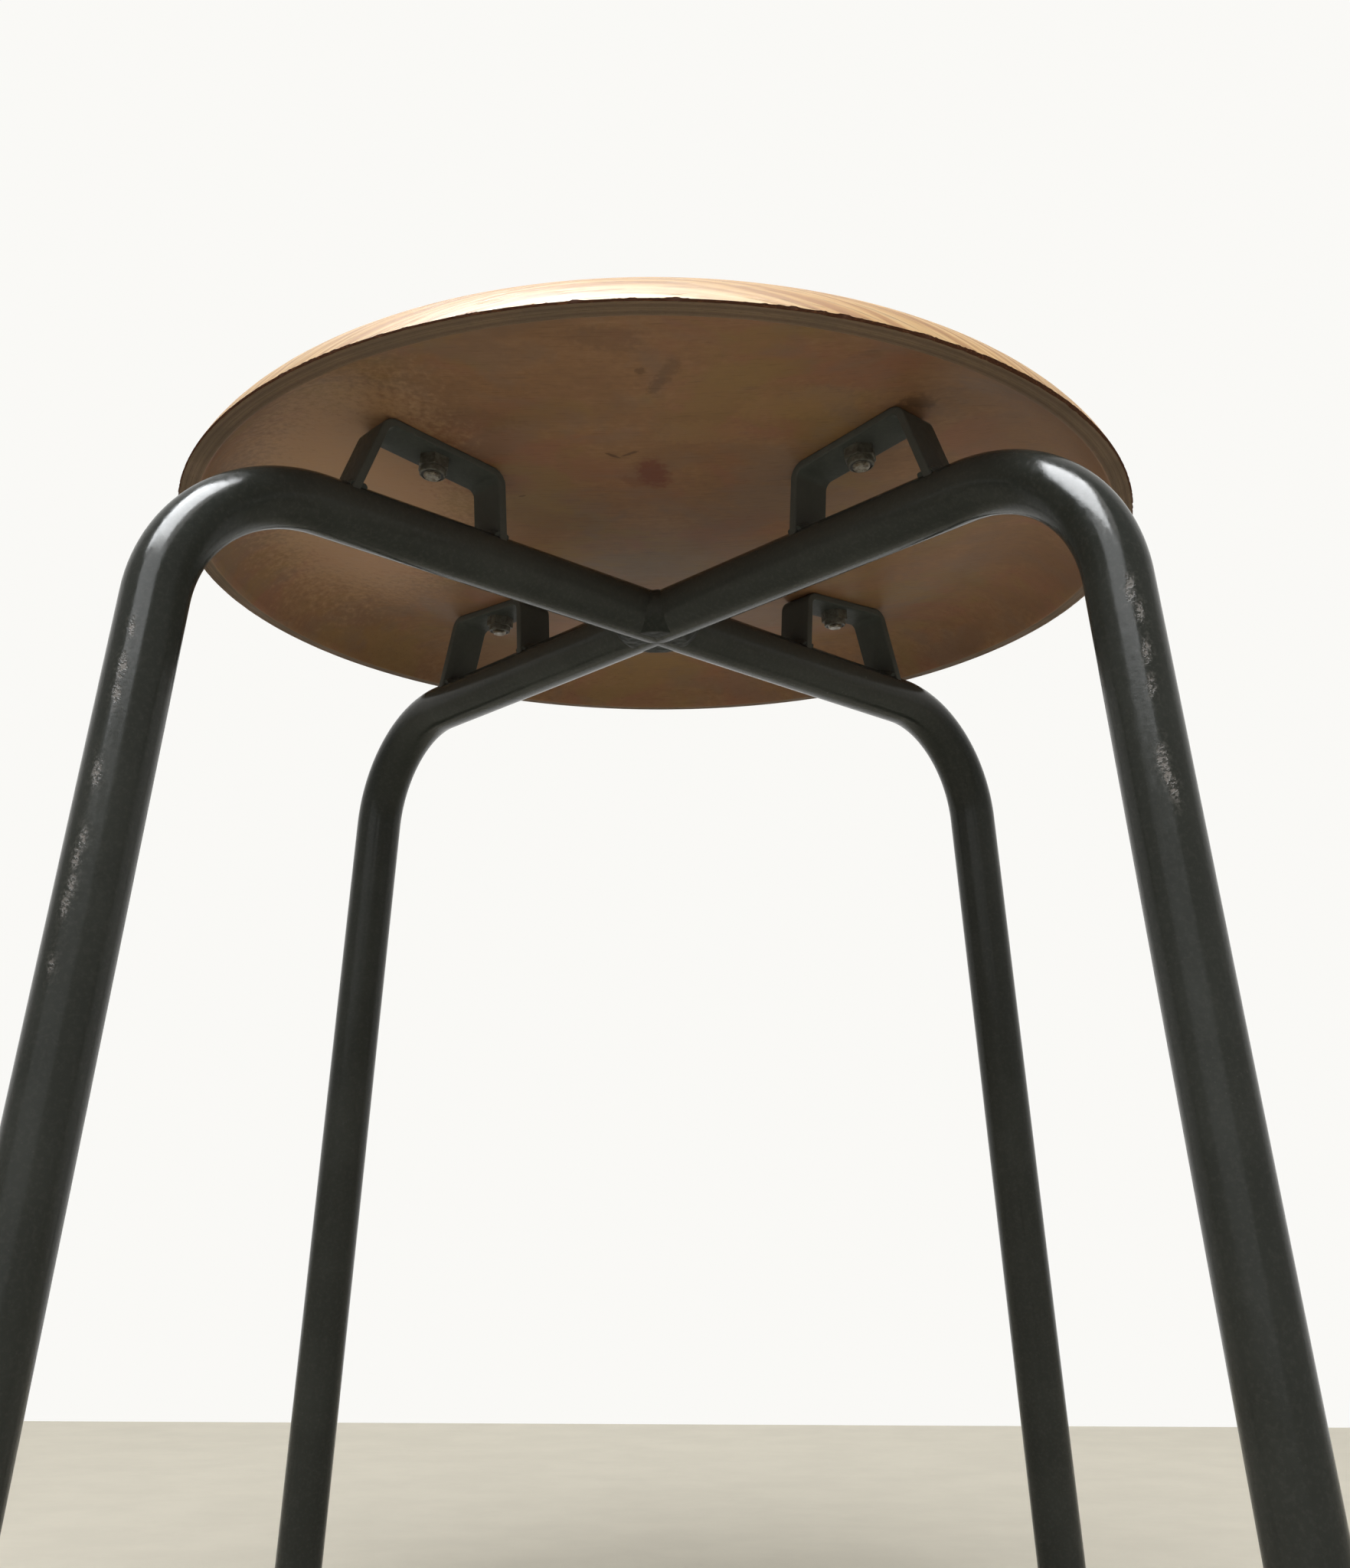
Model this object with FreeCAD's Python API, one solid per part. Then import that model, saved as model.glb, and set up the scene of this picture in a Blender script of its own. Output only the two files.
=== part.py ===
import FreeCAD, Part
import math
import os

# A round stacking stool. A dished plywood seat with a rolled rim is bolted to four staple-shaped
# brackets, and these are welded to a crossed frame of bent steel tube with four splayed legs.
# Millimetres, +Z up. The origin is on the floor, below the middle of the seat. The four arms of the
# frame lie on the diagonals between the X and Y axes. Front is -Y.

# Seat
SEAT_HEIGHT = 450.0            # floor to the crest of the rim
SEAT_DIAMETER = 360.0          # across the lower edge of the rim
DISH_RADIUS = 1130.0           # hollow of the sitting face
RIM_ROLL_RADIUS = 37.0         # roll of the rim, on the sitting face
RIM_END_SLOPE = 67.0           # degrees below level at which the rolled rim ends
RIM_CUT_TILT = 8.0             # degrees by which the sawn edge drops inwards
TOP_VENEER = 1.2
CORE_PLIES = 4.1
UNDER_VENEER = 1.2

# Frame
TUBE_DIAMETER = 20.0
TUBE_WALL = 1.5
BEND_RADIUS = 52.0             # centre line of the tube
CORNER_REACH = 193.5           # middle of the stool to where the axes of an arm and its leg would cross
LEG_SPLAY = 5.9                # degrees from upright
CROSSING_FILLET = 3.0          # stand-out of the weld in each corner of the crossing
CROSSING_FILLET_DROP = 2.0     # by which the weld ends below the crown of the tubes

# Brackets, bent from flat bar
BRACKET_HEIGHT = 24.4          # crown of the arm to the underside of the seat, at the bolt
BRACKET_FLAT = 49.5            # length of the top flat, corner to corner
BRACKET_INSET = 16.9           # level, from where the rim starts to roll to the flat's outer corner
OUTER_FOOT_SPREAD = 9.9        # by which the outer foot stands outside its top corner
INNER_FOOT_SPREAD = 1.5
BAR_WIDTH = 16.0
BAR_THICKNESS = 3.0
BAR_BEND_RADIUS = 3.0          # inside of the bends
BEAD_WIDTH = 2.6               # of the weld fillets at the feet

# Seat bolts and lock nuts, M6
BOLT_DIAMETER = 6.0
BOLT_CLEARANCE = 0.3           # round the bolt in the bracket and in the plies
BOLT_STICK_OUT = 1.0           # of the bolt's end below the nut
HEAD_DIAMETER = 16.0
HEAD_HEIGHT = 3.3
NECK_DEPTH = 3.5
NUT_ACROSS_FLATS = 10.0
NUT_HEX_HEIGHT = 4.0
NUT_COLLAR_DIAMETER = 9.2
NUT_COLLAR_HEIGHT = 2.3
NUT_CHAMFER = 0.5

# Foot caps
CAP_WALL = 2.0
CAP_FLARE = 0.6                # by which the cap is wider at the floor than at its mouth
CAP_HEIGHT = 26.0              # along the leg
CAP_FLOOR = 6.0                # floor to the end of the tube, along the leg

# The four arms, turning from +X towards +Y. The first stands half a step from +X.
ARMS = ("back_right", "back_left", "front_left", "front_right")

X_AXIS = FreeCAD.Vector(1, 0, 0)
Y_AXIS = FreeCAD.Vector(0, 1, 0)
Z_AXIS = FreeCAD.Vector(0, 0, 1)
MIDDLE = FreeCAD.Vector(0, 0, 0)

# Worked out from the sizes above
ARM_ANGLES = {arm: (turn + 1 / 2) * 360 / len(ARMS) for turn, arm in enumerate(ARMS)}  # degrees
SEAT_THICKNESS = TOP_VENEER + CORE_PLIES + UNDER_VENEER
TUBE_RADIUS = TUBE_DIAMETER / 2
END_SLOPE = math.radians(RIM_END_SLOPE)
CUT_TILT = math.radians(RIM_CUT_TILT)
SPLAY = math.radians(LEG_SPLAY)
ROLL_REACH = SEAT_DIAMETER / 2 - RIM_ROLL_RADIUS * math.sin(END_SLOPE)
ROLL_HEIGHT = SEAT_HEIGHT - RIM_ROLL_RADIUS
DISH_SLOPE = math.asin(ROLL_REACH / (DISH_RADIUS + RIM_ROLL_RADIUS))
DISH_CENTRE = ROLL_HEIGHT + (DISH_RADIUS + RIM_ROLL_RADIUS) * math.cos(DISH_SLOPE)
BOLT_REACH = ROLL_REACH - BRACKET_INSET - BRACKET_FLAT / 2
BOLT_SLOPE = math.asin(BOLT_REACH / (DISH_RADIUS + SEAT_THICKNESS))
SEAT_BOTTOM = DISH_CENTRE - (DISH_RADIUS + SEAT_THICKNESS) * math.cos(BOLT_SLOPE)
ARM_CROWN = SEAT_BOTTOM - BRACKET_HEIGHT
ARM_HEIGHT = ARM_CROWN - TUBE_RADIUS


def at(reach, height, side=0.0):
    """A point in the plane of an arm that points along +X."""
    return FreeCAD.Vector(reach, side, height)


def solid_of(edges, axis_point, axis, angle=360.0):
    """The closed outline turned about an axis."""
    face = Part.Face(Part.Wire(Part.__sortEdges__(edges)))
    return face.revolve(axis_point, axis, angle)


def outline(points):
    """Straight edges round a closed outline."""
    return Part.makePolygon(points + points[:1]).Edges


def turned(shape, angle):
    """A copy of a piece of the +X arm, turned about the middle of the stool."""
    copy = shape.copy()
    copy.rotate(MIDDLE, Z_AXIS, angle)
    return copy


# Seat


def dish_point(depth, slope):
    """A point of the dished part, at a depth below the sitting face."""
    radius = DISH_RADIUS + depth
    return at(radius * math.sin(slope), DISH_CENTRE - radius * math.cos(slope))


def roll_point(depth, slope):
    """A point of the rolled rim, where it falls outwards at the slope."""
    radius = RIM_ROLL_RADIUS - depth
    return at(ROLL_REACH + radius * math.sin(slope), ROLL_HEIGHT + radius * math.cos(slope))


def rim_end(depth):
    """The slope at which the rolled rim meets the sawn edge, at a depth below the sitting face."""
    share = RIM_ROLL_RADIUS / (RIM_ROLL_RADIUS - depth)
    return math.acos(share * math.cos(END_SLOPE + CUT_TILT)) - CUT_TILT


def seat_curve(depth):
    """The dish and the rolled rim as two tangent arcs, at a depth below the sitting face."""
    end = rim_end(depth)
    dish = Part.Arc(dish_point(depth, 0), dish_point(depth, DISH_SLOPE / 2), dish_point(depth, DISH_SLOPE))
    crest = roll_point(depth, (end - DISH_SLOPE) / 2)
    roll = Part.Arc(roll_point(depth, -DISH_SLOPE), crest, roll_point(depth, end))
    return [dish.toShape(), roll.toShape()]


def seat_layer(top, bottom):
    """One glued layer of the seat between two depths, with its four bolt holes."""
    middle = Part.makeLine(dish_point(top, 0), dish_point(bottom, 0))
    edge = Part.makeLine(roll_point(top, rim_end(top)), roll_point(bottom, rim_end(bottom)))
    layer = solid_of(seat_curve(top) + [edge, middle] + seat_curve(bottom), MIDDLE, Z_AXIS)
    for angle in ARM_ANGLES.values():
        layer = layer.cut(turned(bolt_room(), angle))
    return layer


# Frame


def arm_path():
    """The arm from the middle, its bend and its leg: the points where straight and bend meet."""
    turn = math.pi / 2 - SPLAY
    tangent = BEND_RADIUS * math.tan(turn / 2)
    corner = at(CORNER_REACH, ARM_HEIGHT)
    down = at(math.sin(SPLAY), -math.cos(SPLAY))
    floor = corner + down * (ARM_HEIGHT / math.cos(SPLAY))
    bend_start = at(CORNER_REACH - tangent, ARM_HEIGHT)
    centre = bend_start - Z_AXIS * BEND_RADIUS
    bend_middle = centre + at(math.sin(turn / 2), math.cos(turn / 2)) * BEND_RADIUS
    return bend_start, bend_middle, corner + down * tangent, floor - down * CAP_FLOOR, floor, down


def arm_edges(start):
    """The axis of a tube from the start, along the arm, round the bend and down the leg."""
    bend_start, bend_middle, bend_end, tube_end, _, _ = arm_path()
    bend = Part.Arc(bend_start, bend_middle, bend_end).toShape()
    return [Part.makeLine(start, bend_start), bend, Part.makeLine(bend_end, tube_end)]


def bar_along(edges, radius):
    """A round bar whose axis runs through the edges, from the last one's end."""
    path = Part.Wire(Part.__sortEdges__(edges))
    _, _, _, tube_end, _, down = arm_path()
    ring = Part.Wire(Part.makeCircle(radius, tube_end, down))
    return path.makePipeShell([ring], True, False)


def half_bar(radius):
    """A round bar from the middle of the stool to a foot."""
    return bar_along(arm_edges(at(0, ARM_HEIGHT)), radius)


def through_bar(radius):
    """A round bar from a foot, across the middle of the stool, to the foot opposite."""
    edges = arm_edges(at(0, ARM_HEIGHT))
    return bar_along(edges + [turned(edge, 180.0) for edge in edges], radius)


def tube(bar):
    """A tube of the frame from the function that makes its round bar."""
    return bar(TUBE_RADIUS).cut(bar(TUBE_RADIUS - TUBE_WALL))


def through_tube():
    """The one tube that runs from foot to foot."""
    return turned(tube(through_bar), ARM_ANGLES["back_right"])


def half_tube(angle):
    """A tube coped to the side of the through tube."""
    return turned(tube(half_bar), angle).cut(turned(through_bar(TUBE_RADIUS), ARM_ANGLES["back_right"]))


def crossing_weld():
    """The fillets in the four corners between the arms: a flat ellipsoid, less the tubes."""
    reach = TUBE_RADIUS * math.sqrt(2) + CROSSING_FILLET
    centre = at(0, ARM_HEIGHT)
    crown = Z_AXIS * TUBE_RADIUS
    side = Part.Ellipse(centre, reach, TUBE_RADIUS)
    side.rotate(FreeCAD.Placement(centre, FreeCAD.Rotation(X_AXIS, 90)))
    arc = Part.Arc(side, -math.pi / 2, math.pi / 2).toShape()
    weld = solid_of([arc, Part.makeLine(centre - crown, centre + crown)], MIDDLE, Z_AXIS)
    rise = TUBE_RADIUS - CROSSING_FILLET_DROP
    weld = weld.common(Part.makeBox(2 * reach, 2 * reach, 2 * rise, centre - at(reach, rise, reach)))
    for angle in ARM_ANGLES.values():
        weld = weld.cut(turned(half_bar(TUBE_RADIUS), angle))
    return weld


# Brackets


def bracket_corners():
    """The corners of the bar's outer side, from the outer foot to the inner one, at the arm's crown."""
    along = at(math.cos(BOLT_SLOPE), math.sin(BOLT_SLOPE))
    seat = at(BOLT_REACH, SEAT_BOTTOM)
    outer_top = seat + along * (BRACKET_FLAT / 2)
    inner_top = seat - along * (BRACKET_FLAT / 2)
    outer_foot = at(outer_top.x + OUTER_FOOT_SPREAD, ARM_CROWN)
    inner_foot = at(inner_top.x - INNER_FOOT_SPREAD, ARM_CROWN)
    return outer_foot, outer_top, inner_top, inner_foot


def to_arm_axis(top, foot):
    """Lengthens one leg of a bracket from its foot to the height of the arm's axis."""
    return foot + (foot - top) * (TUBE_RADIUS / (top.z - foot.z))


def offset_corner(before, corner, after, depth):
    """The corner moved inwards, so that it lies at a depth from both of its sides."""
    first = (corner - before).normalize()
    second = (after - corner).normalize()
    inward = at(-first.z, first.x)
    turn = second.getAngle(first)
    return corner + (inward - first * math.tan(turn / 2)) * depth


def rounded(before, corner, after, radius):
    """The two tangent points and the middle of the arc that rounds a corner."""
    back = (before - corner).normalize()
    ahead = (after - corner).normalize()
    half = back.getAngle(ahead) / 2
    start = corner + back * (radius / math.tan(half))
    end = corner + ahead * (radius / math.tan(half))
    inward = (back + ahead).normalize()
    middle = corner + inward * (radius / math.sin(half) - radius)
    return start, middle, end


def bar_side(points, radius):
    """One side of the bent bar: three straight stretches and two bends."""
    first, outer, inner, last = points
    a_start, a_middle, a_end = rounded(first, outer, inner, radius)
    b_start, b_middle, b_end = rounded(outer, inner, last, radius)
    return [
        Part.makeLine(first, a_start),
        Part.Arc(a_start, a_middle, a_end).toShape(),
        Part.makeLine(a_end, b_start),
        Part.Arc(b_start, b_middle, b_end).toShape(),
        Part.makeLine(b_end, last),
    ]


def bracket_bar():
    """The bent bar before its feet are coped: legs run down to the arm's axis."""
    outer_foot, outer_top, inner_top, inner_foot = bracket_corners()
    first = to_arm_axis(outer_top, outer_foot)
    last = to_arm_axis(inner_top, inner_foot)
    first_run = (outer_top - first).normalize()
    last_run = (last - inner_top).normalize()
    inside = [
        first + at(-first_run.z, first_run.x) * BAR_THICKNESS,
        offset_corner(first, outer_top, inner_top, BAR_THICKNESS),
        offset_corner(outer_top, inner_top, last, BAR_THICKNESS),
        last + at(-last_run.z, last_run.x) * BAR_THICKNESS,
    ]
    outside = bar_side([first, outer_top, inner_top, last], BAR_BEND_RADIUS + BAR_THICKNESS)
    ends = [Part.makeLine(first, inside[0]), Part.makeLine(last, inside[3])]
    face = Part.Face(Part.Wire(Part.__sortEdges__(outside + bar_side(inside, BAR_BEND_RADIUS) + ends)))
    face.translate(Y_AXIS * (-BAR_WIDTH / 2))
    return face.extrude(Y_AXIS * BAR_WIDTH)


def arm_rod():
    """The arm as a plain round bar, for coping what sits on it."""
    return Part.makeCylinder(TUBE_RADIUS, CORNER_REACH, at(0, ARM_HEIGHT), X_AXIS)


def bracket():
    """A bracket with coped feet and a bolt hole."""
    return bracket_bar().cut(arm_rod()).cut(bolt_room())


def foot_bead(reach, outwards):
    """A weld fillet on the arm against one side of a bracket's foot."""
    crown = at(reach, ARM_CROWN)
    inside = X_AXIS * (-outwards * BAR_THICKNESS / 2)
    spread = math.degrees(math.atan2(BAR_WIDTH / 2, TUBE_RADIUS))
    points = [crown + inside, crown + X_AXIS * (outwards * BEAD_WIDTH), crown + Z_AXIS * BEAD_WIDTH,
              crown + inside + Z_AXIS * BEAD_WIDTH]
    bead = solid_of(outline(points), at(0, ARM_HEIGHT), X_AXIS, 2 * spread)
    bead.rotate(at(0, ARM_HEIGHT), X_AXIS, -spread)
    return bead.cut(bracket_bar()).cut(arm_rod())


def bracket_weld():
    """The four fillets of one bracket."""
    outer_foot, outer_top, inner_top, inner_foot = bracket_corners()
    outer_width = BAR_THICKNESS * outer_foot.distanceToPoint(outer_top) / (outer_top.z - outer_foot.z)
    inner_width = BAR_THICKNESS * inner_foot.distanceToPoint(inner_top) / (inner_top.z - inner_foot.z)
    return Part.makeCompound([
        foot_bead(outer_foot.x, 1),
        foot_bead(outer_foot.x - outer_width, -1),
        foot_bead(inner_foot.x + inner_width, 1),
        foot_bead(inner_foot.x, -1),
    ])


# Fasteners, made upright on the origin and then set square to the seat at a bolt


def set_at_bolt(shape):
    """Puts a fastener at the +X arm's bolt, its origin on the underside of the seat."""
    copy = shape.copy()
    tilt = FreeCAD.Rotation(Y_AXIS, -math.degrees(BOLT_SLOPE))
    copy.Placement = FreeCAD.Placement(at(BOLT_REACH, SEAT_BOTTOM), tilt).multiply(copy.Placement)
    return copy


def square_neck(height):
    """The square neck under a bolt's head, down from a height."""
    return Part.makeBox(BOLT_DIAMETER, BOLT_DIAMETER, NECK_DEPTH,
                        at(-BOLT_DIAMETER / 2, height - NECK_DEPTH, -BOLT_DIAMETER / 2))


def head_seat():
    """Height of the head's flat underside: its rim rests on the dish."""
    return SEAT_THICKNESS + DISH_RADIUS - math.sqrt(DISH_RADIUS ** 2 - (HEAD_DIAMETER / 2) ** 2)


def bolt_room():
    """What is cut from the plies and the bracket for a bolt: a drilled hole and the neck's square."""
    radius = BOLT_DIAMETER / 2 + BOLT_CLEARANCE
    length = BAR_THICKNESS + SEAT_THICKNESS + 2 * HEAD_HEIGHT
    hole = Part.makeCylinder(radius, length, at(0, -BAR_THICKNESS - HEAD_HEIGHT))
    return set_at_bolt(hole.fuse(square_neck(head_seat())))


def seat_bolt():
    """A domed bolt with a square neck."""
    base = head_seat()
    end = -(BAR_THICKNESS + NUT_HEX_HEIGHT + NUT_COLLAR_HEIGHT + BOLT_STICK_OUT)
    dome = (HEAD_DIAMETER ** 2 / 4 + HEAD_HEIGHT ** 2) / (2 * HEAD_HEIGHT)
    ball = Part.makeSphere(dome, at(0, base + HEAD_HEIGHT - dome))
    head = ball.common(Part.makeCylinder(HEAD_DIAMETER / 2, HEAD_HEIGHT, at(0, base)))
    shank = Part.makeCylinder(BOLT_DIAMETER / 2, base - end, at(0, end))
    return set_at_bolt(head.fuse(shank).fuse(square_neck(base)).removeSplitter())


def seat_nut():
    """A hexagon lock nut: the collar that holds the locking ring is below."""
    corner = NUT_ACROSS_FLATS / math.sqrt(3)
    bottom = -BAR_THICKNESS - NUT_HEX_HEIGHT
    end = at(0, bottom - NUT_COLLAR_HEIGHT)
    ring = [at(corner * math.cos(math.radians(a)), bottom, corner * math.sin(math.radians(a)))
            for a in range(0, 360, 60)]
    hexagon = Part.Face(Part.makePolygon(ring + ring[:1])).extrude(Z_AXIS * NUT_HEX_HEIGHT)
    low = corner - NUT_CHAMFER
    slope = Part.makeCone(low, low + NUT_HEX_HEIGHT, NUT_HEX_HEIGHT, at(0, bottom))
    collar = Part.makeCylinder(NUT_COLLAR_DIAMETER / 2, NUT_COLLAR_HEIGHT, end)
    lip = [edge for edge in collar.Edges
           if len(edge.Vertexes) == 1 and edge.CenterOfMass.z < bottom - NUT_COLLAR_HEIGHT / 2]
    collar = collar.makeFillet(NUT_CHAMFER, lip)
    bore = Part.makeCylinder(BOLT_DIAMETER / 2, NUT_HEX_HEIGHT + NUT_COLLAR_HEIGHT, end)
    return set_at_bolt(hexagon.common(slope).fuse(collar).cut(bore))


# Foot caps


def foot_cap():
    """A flared cap pushed over the end of a leg, level where it meets the floor."""
    _, _, _, tube_end, floor, down = arm_path()
    up = down * -1
    mouth = TUBE_RADIUS + CAP_WALL
    below = mouth
    start = floor + down * below
    draft = CAP_FLARE / CAP_HEIGHT
    body = Part.makeCone(mouth + CAP_FLARE + draft * below, mouth, CAP_HEIGHT + below, start, up)
    bore = Part.makeCylinder(TUBE_RADIUS, CAP_HEIGHT, tube_end, up)
    room = Part.makeBox(4 * mouth, 4 * mouth, 2 * CAP_HEIGHT, at(floor.x - 2 * mouth, 0, -2 * mouth))
    return body.cut(bore).common(room)


def nodes():
    """Every piece of the stool by name."""
    pieces = {
        "seat_top_veneer": seat_layer(0, TOP_VENEER),
        "seat_core": seat_layer(TOP_VENEER, TOP_VENEER + CORE_PLIES),
        "seat_underside_veneer": seat_layer(TOP_VENEER + CORE_PLIES, SEAT_THICKNESS),
        "through_tube": through_tube(),
        "half_tube_front_right": half_tube(ARM_ANGLES["front_right"]),
        "half_tube_back_left": half_tube(ARM_ANGLES["back_left"]),
        "crossing_weld": crossing_weld(),
    }
    for place, angle in ARM_ANGLES.items():
        pieces["bracket_" + place] = turned(bracket(), angle)
        pieces["bracket_weld_" + place] = turned(bracket_weld(), angle)
        pieces["seat_bolt_" + place] = turned(seat_bolt(), angle)
        pieces["seat_nut_" + place] = turned(seat_nut(), angle)
        pieces["foot_cap_" + place] = turned(foot_cap(), angle)
    return pieces


os.makedirs("parts", exist_ok=True)
for name, piece in nodes().items():
    piece.exportStep("parts/" + name + ".step")
    print(name, "solids", len(piece.Solids), "valid", piece.isValid(), "volume", round(piece.Volume, 1))
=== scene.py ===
"""The looks of a round stacking stool: a dished plywood seat, bolted to a crossed frame of bent steel tube.

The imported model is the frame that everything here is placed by. Sizes are in metres. Pieces of an arm are made
on the arm that would point along +X, in the XZ plane, and turned to the diagonals between X and Y.
"""
import logging
import math
from abc import ABC, abstractmethod
from contextlib import contextmanager
from dataclasses import dataclass, field
from enum import Enum
from itertools import product
from typing import Callable, ClassVar, Iterable, Iterator, Sequence

import bmesh
import bpy
from mathutils import Matrix, Vector, noise


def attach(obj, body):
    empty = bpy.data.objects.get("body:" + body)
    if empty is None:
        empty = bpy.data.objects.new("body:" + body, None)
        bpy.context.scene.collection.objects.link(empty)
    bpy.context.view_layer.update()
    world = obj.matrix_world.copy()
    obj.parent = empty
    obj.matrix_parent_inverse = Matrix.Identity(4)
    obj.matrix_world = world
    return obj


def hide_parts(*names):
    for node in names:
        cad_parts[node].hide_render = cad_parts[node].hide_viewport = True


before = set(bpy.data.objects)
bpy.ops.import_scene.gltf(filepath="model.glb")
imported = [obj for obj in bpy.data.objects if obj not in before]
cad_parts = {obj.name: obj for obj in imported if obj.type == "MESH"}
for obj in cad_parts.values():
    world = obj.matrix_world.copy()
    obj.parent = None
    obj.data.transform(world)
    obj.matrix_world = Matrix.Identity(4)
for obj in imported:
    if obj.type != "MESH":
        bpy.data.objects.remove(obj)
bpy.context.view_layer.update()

log = logging.getLogger("stool")

MM = 0.001
BODY = "root"
SPIN_LIMIT = 64             # a longer spin is slow, so a wedge is spun and doubled
ROUND_STEPS = 96            # steps round the small turned pieces
DOUBLE_RANGE = 0.001 * MM   # closer points are one
PICK_RANGE = 0.2 * MM
RING_RANGE = 0.02 * MM
TORN, SAWN = 1, 2           # material numbers at the face veneer's edge
TUBE_AND_SHEET_ANGLE = 40   # degrees below which faces of tubes and sheets are shaded smooth

Point = tuple[float, float]
Colour = tuple[float, float, float]
Piece = bpy.types.Object
Socket = bpy.types.NodeSocket
Value = Socket | float | Sequence[float]


# Measures and places


class Arm(Enum):
    """The four arms and the turn, in degrees from +X towards +Y, at which each one stands."""

    BACK_RIGHT = 45.0
    BACK_LEFT = 135.0
    FRONT_LEFT = 225.0
    FRONT_RIGHT = 315.0

    @property
    def label(self) -> str:
        """The arm's name as the nodes spell it."""
        return self.name.lower()

    @property
    def turn(self) -> float:
        """The arm's turn about +Z in radians."""
        return math.radians(self.value)


class Slot(Enum):
    """The record's material slots."""

    FACE = "face_veneer"
    CORE = "core_plies"
    UNDERSIDE = "underside_veneer"
    PAINT = "frame_paint"
    STEEL = "plated_steel"
    RUBBER = "cap_rubber"


def flat(reach: float, height: float) -> Vector:
    """A point in the plane of the arm that points along +X."""
    return Vector((reach, 0.0, height))


# Hand moves that the pieces share


def clear_selection() -> None:
    """Deselects everything, the nodes of the frame too."""
    bpy.ops.object.select_all(action="DESELECT")


def select_only(piece: Piece) -> None:
    """Selects one piece and makes it the active one."""
    clear_selection()
    piece.select_set(True)
    bpy.context.view_layer.objects.active = piece


def settle(name: str) -> Piece:
    """Names the active piece and moves its place into its mesh, so that its object stands at the origin."""
    piece = bpy.context.object
    piece.name = piece.data.name = name
    bpy.ops.object.transform_apply(location=True, rotation=True, scale=True)
    return piece


def primitive(name: str, operator: Callable[..., object], scaled: Sequence[float] = (1, 1, 1),
              **settings: object) -> Piece:
    """Adds a primitive with nothing else selected.

    Args:
        name: The piece's name.
        operator: The operator that adds the primitive.
        scaled: Scale along the primitive's own axes.
        settings: The operator's settings.

    Returns:
        The piece, its object at the origin.
    """
    clear_selection()
    operator(**settings)
    bpy.context.object.scale = scaled
    return settle(name)


def moved(piece: Piece, turn: Sequence[float], place: Sequence[float] = (0, 0, 0)) -> Piece:
    """Turns a piece and moves it, and puts its new place into its mesh."""
    piece.rotation_euler = turn
    piece.location = place
    select_only(piece)
    return settle(piece.name)


@contextmanager
def edit_mode(piece: Piece) -> Iterator[None]:
    """Opens a piece in edit mode with everything selected, and closes it again."""
    select_only(piece)
    bpy.ops.object.mode_set(mode="EDIT")
    bpy.ops.mesh.select_mode(type="VERT")
    take_all()
    try:
        yield
    finally:
        bpy.ops.object.mode_set(mode="OBJECT")


def take_all() -> None:
    """In edit mode, selects everything."""
    bpy.ops.mesh.select_all(action="SELECT")


def pick_edges(piece: Piece, height: float) -> None:
    """In edit mode, selects the edges whose middles lie at a height, and nothing else."""
    bpy.ops.mesh.select_mode(type="EDGE")
    bpy.ops.mesh.select_all(action="DESELECT")
    mesh = bmesh.from_edit_mesh(piece.data)
    for edge in mesh.edges:
        if abs((edge.verts[0].co.z + edge.verts[1].co.z) / 2 - height) < PICK_RANGE:
            edge.select_set(True)
    mesh.select_flush_mode()
    bmesh.update_edit_mesh(piece.data)


def close_up(fill: bool = True) -> None:
    """In edit mode, merges doubles, fills open ends unless they are to stay, and turns all faces outwards."""
    bpy.ops.mesh.select_mode(type="VERT")
    take_all()
    bpy.ops.mesh.remove_doubles(threshold=DOUBLE_RANGE)
    if fill:
        take_all()
        bpy.ops.mesh.fill_holes(sides=0)
        take_all()
    bpy.ops.mesh.normals_make_consistent(inside=False)


def lathe(name: str, profile: Sequence[Point], steps: int) -> Piece:
    """Turns a profile about the Z axis into a closed piece.

    Args:
        name: The piece's name.
        profile: Points of reach and height, from axis to axis or round a closed ring.
        steps: How many steps make the full turn.

    Returns:
        The turned piece.
    """
    piece = primitive(name, bpy.ops.mesh.primitive_plane_add, size=MM, location=flat(*profile[0]))
    with edit_mode(piece):
        bpy.ops.mesh.merge(type="CENTER")
        for before, after in zip(profile, profile[1:]):
            bpy.ops.mesh.extrude_vertices_move(TRANSFORM_OT_translate={"value": flat(*after) - flat(*before)})
        doublings = 0
        while steps > SPIN_LIMIT and steps % 2 == 0:
            steps //= 2
            doublings += 1
        angle = math.tau / 2 ** doublings
        take_all()
        bpy.ops.mesh.spin(steps=steps, angle=angle, center=(0, 0, 0), axis=(0, 0, 1))
        for _ in range(doublings):
            take_all()
            bpy.ops.mesh.duplicate()
            bpy.ops.transform.rotate(value=angle, orient_axis="Z", center_override=(0, 0, 0))
            angle *= 2
        close_up()
    return piece


def draw_along(path: Sequence[Vector], radius: float, steps: int) -> None:
    """Draws the selected outline along a path in the XZ plane: straight runs are extruded, corners are spun.

    Args:
        path: The corners of the path, where its straight runs would cross. The outline stands at the first.
        radius: Radius of each bend, measured on the path.
        steps: How many steps a bend has.
    """
    here = path[0]
    for before, corner, after in zip(path, path[1:], path[2:]):
        run, next_run = (corner - before).normalized(), (after - corner).normalized()
        turn = math.atan2(run.x * next_run.z - run.z * next_run.x, run.dot(next_run))
        tangent = radius * math.tan(abs(turn) / 2)
        start = corner - run * tangent
        inward = across(run) * math.copysign(radius, turn)
        bpy.ops.mesh.extrude_region_move(TRANSFORM_OT_translate={"value": start - here})
        bpy.ops.mesh.spin(steps=steps, angle=turn, center=start + inward, axis=(0, 1, 0))
        here = corner + next_run * tangent
    bpy.ops.mesh.extrude_region_move(TRANSFORM_OT_translate={"value": path[-1] - here})


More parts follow.
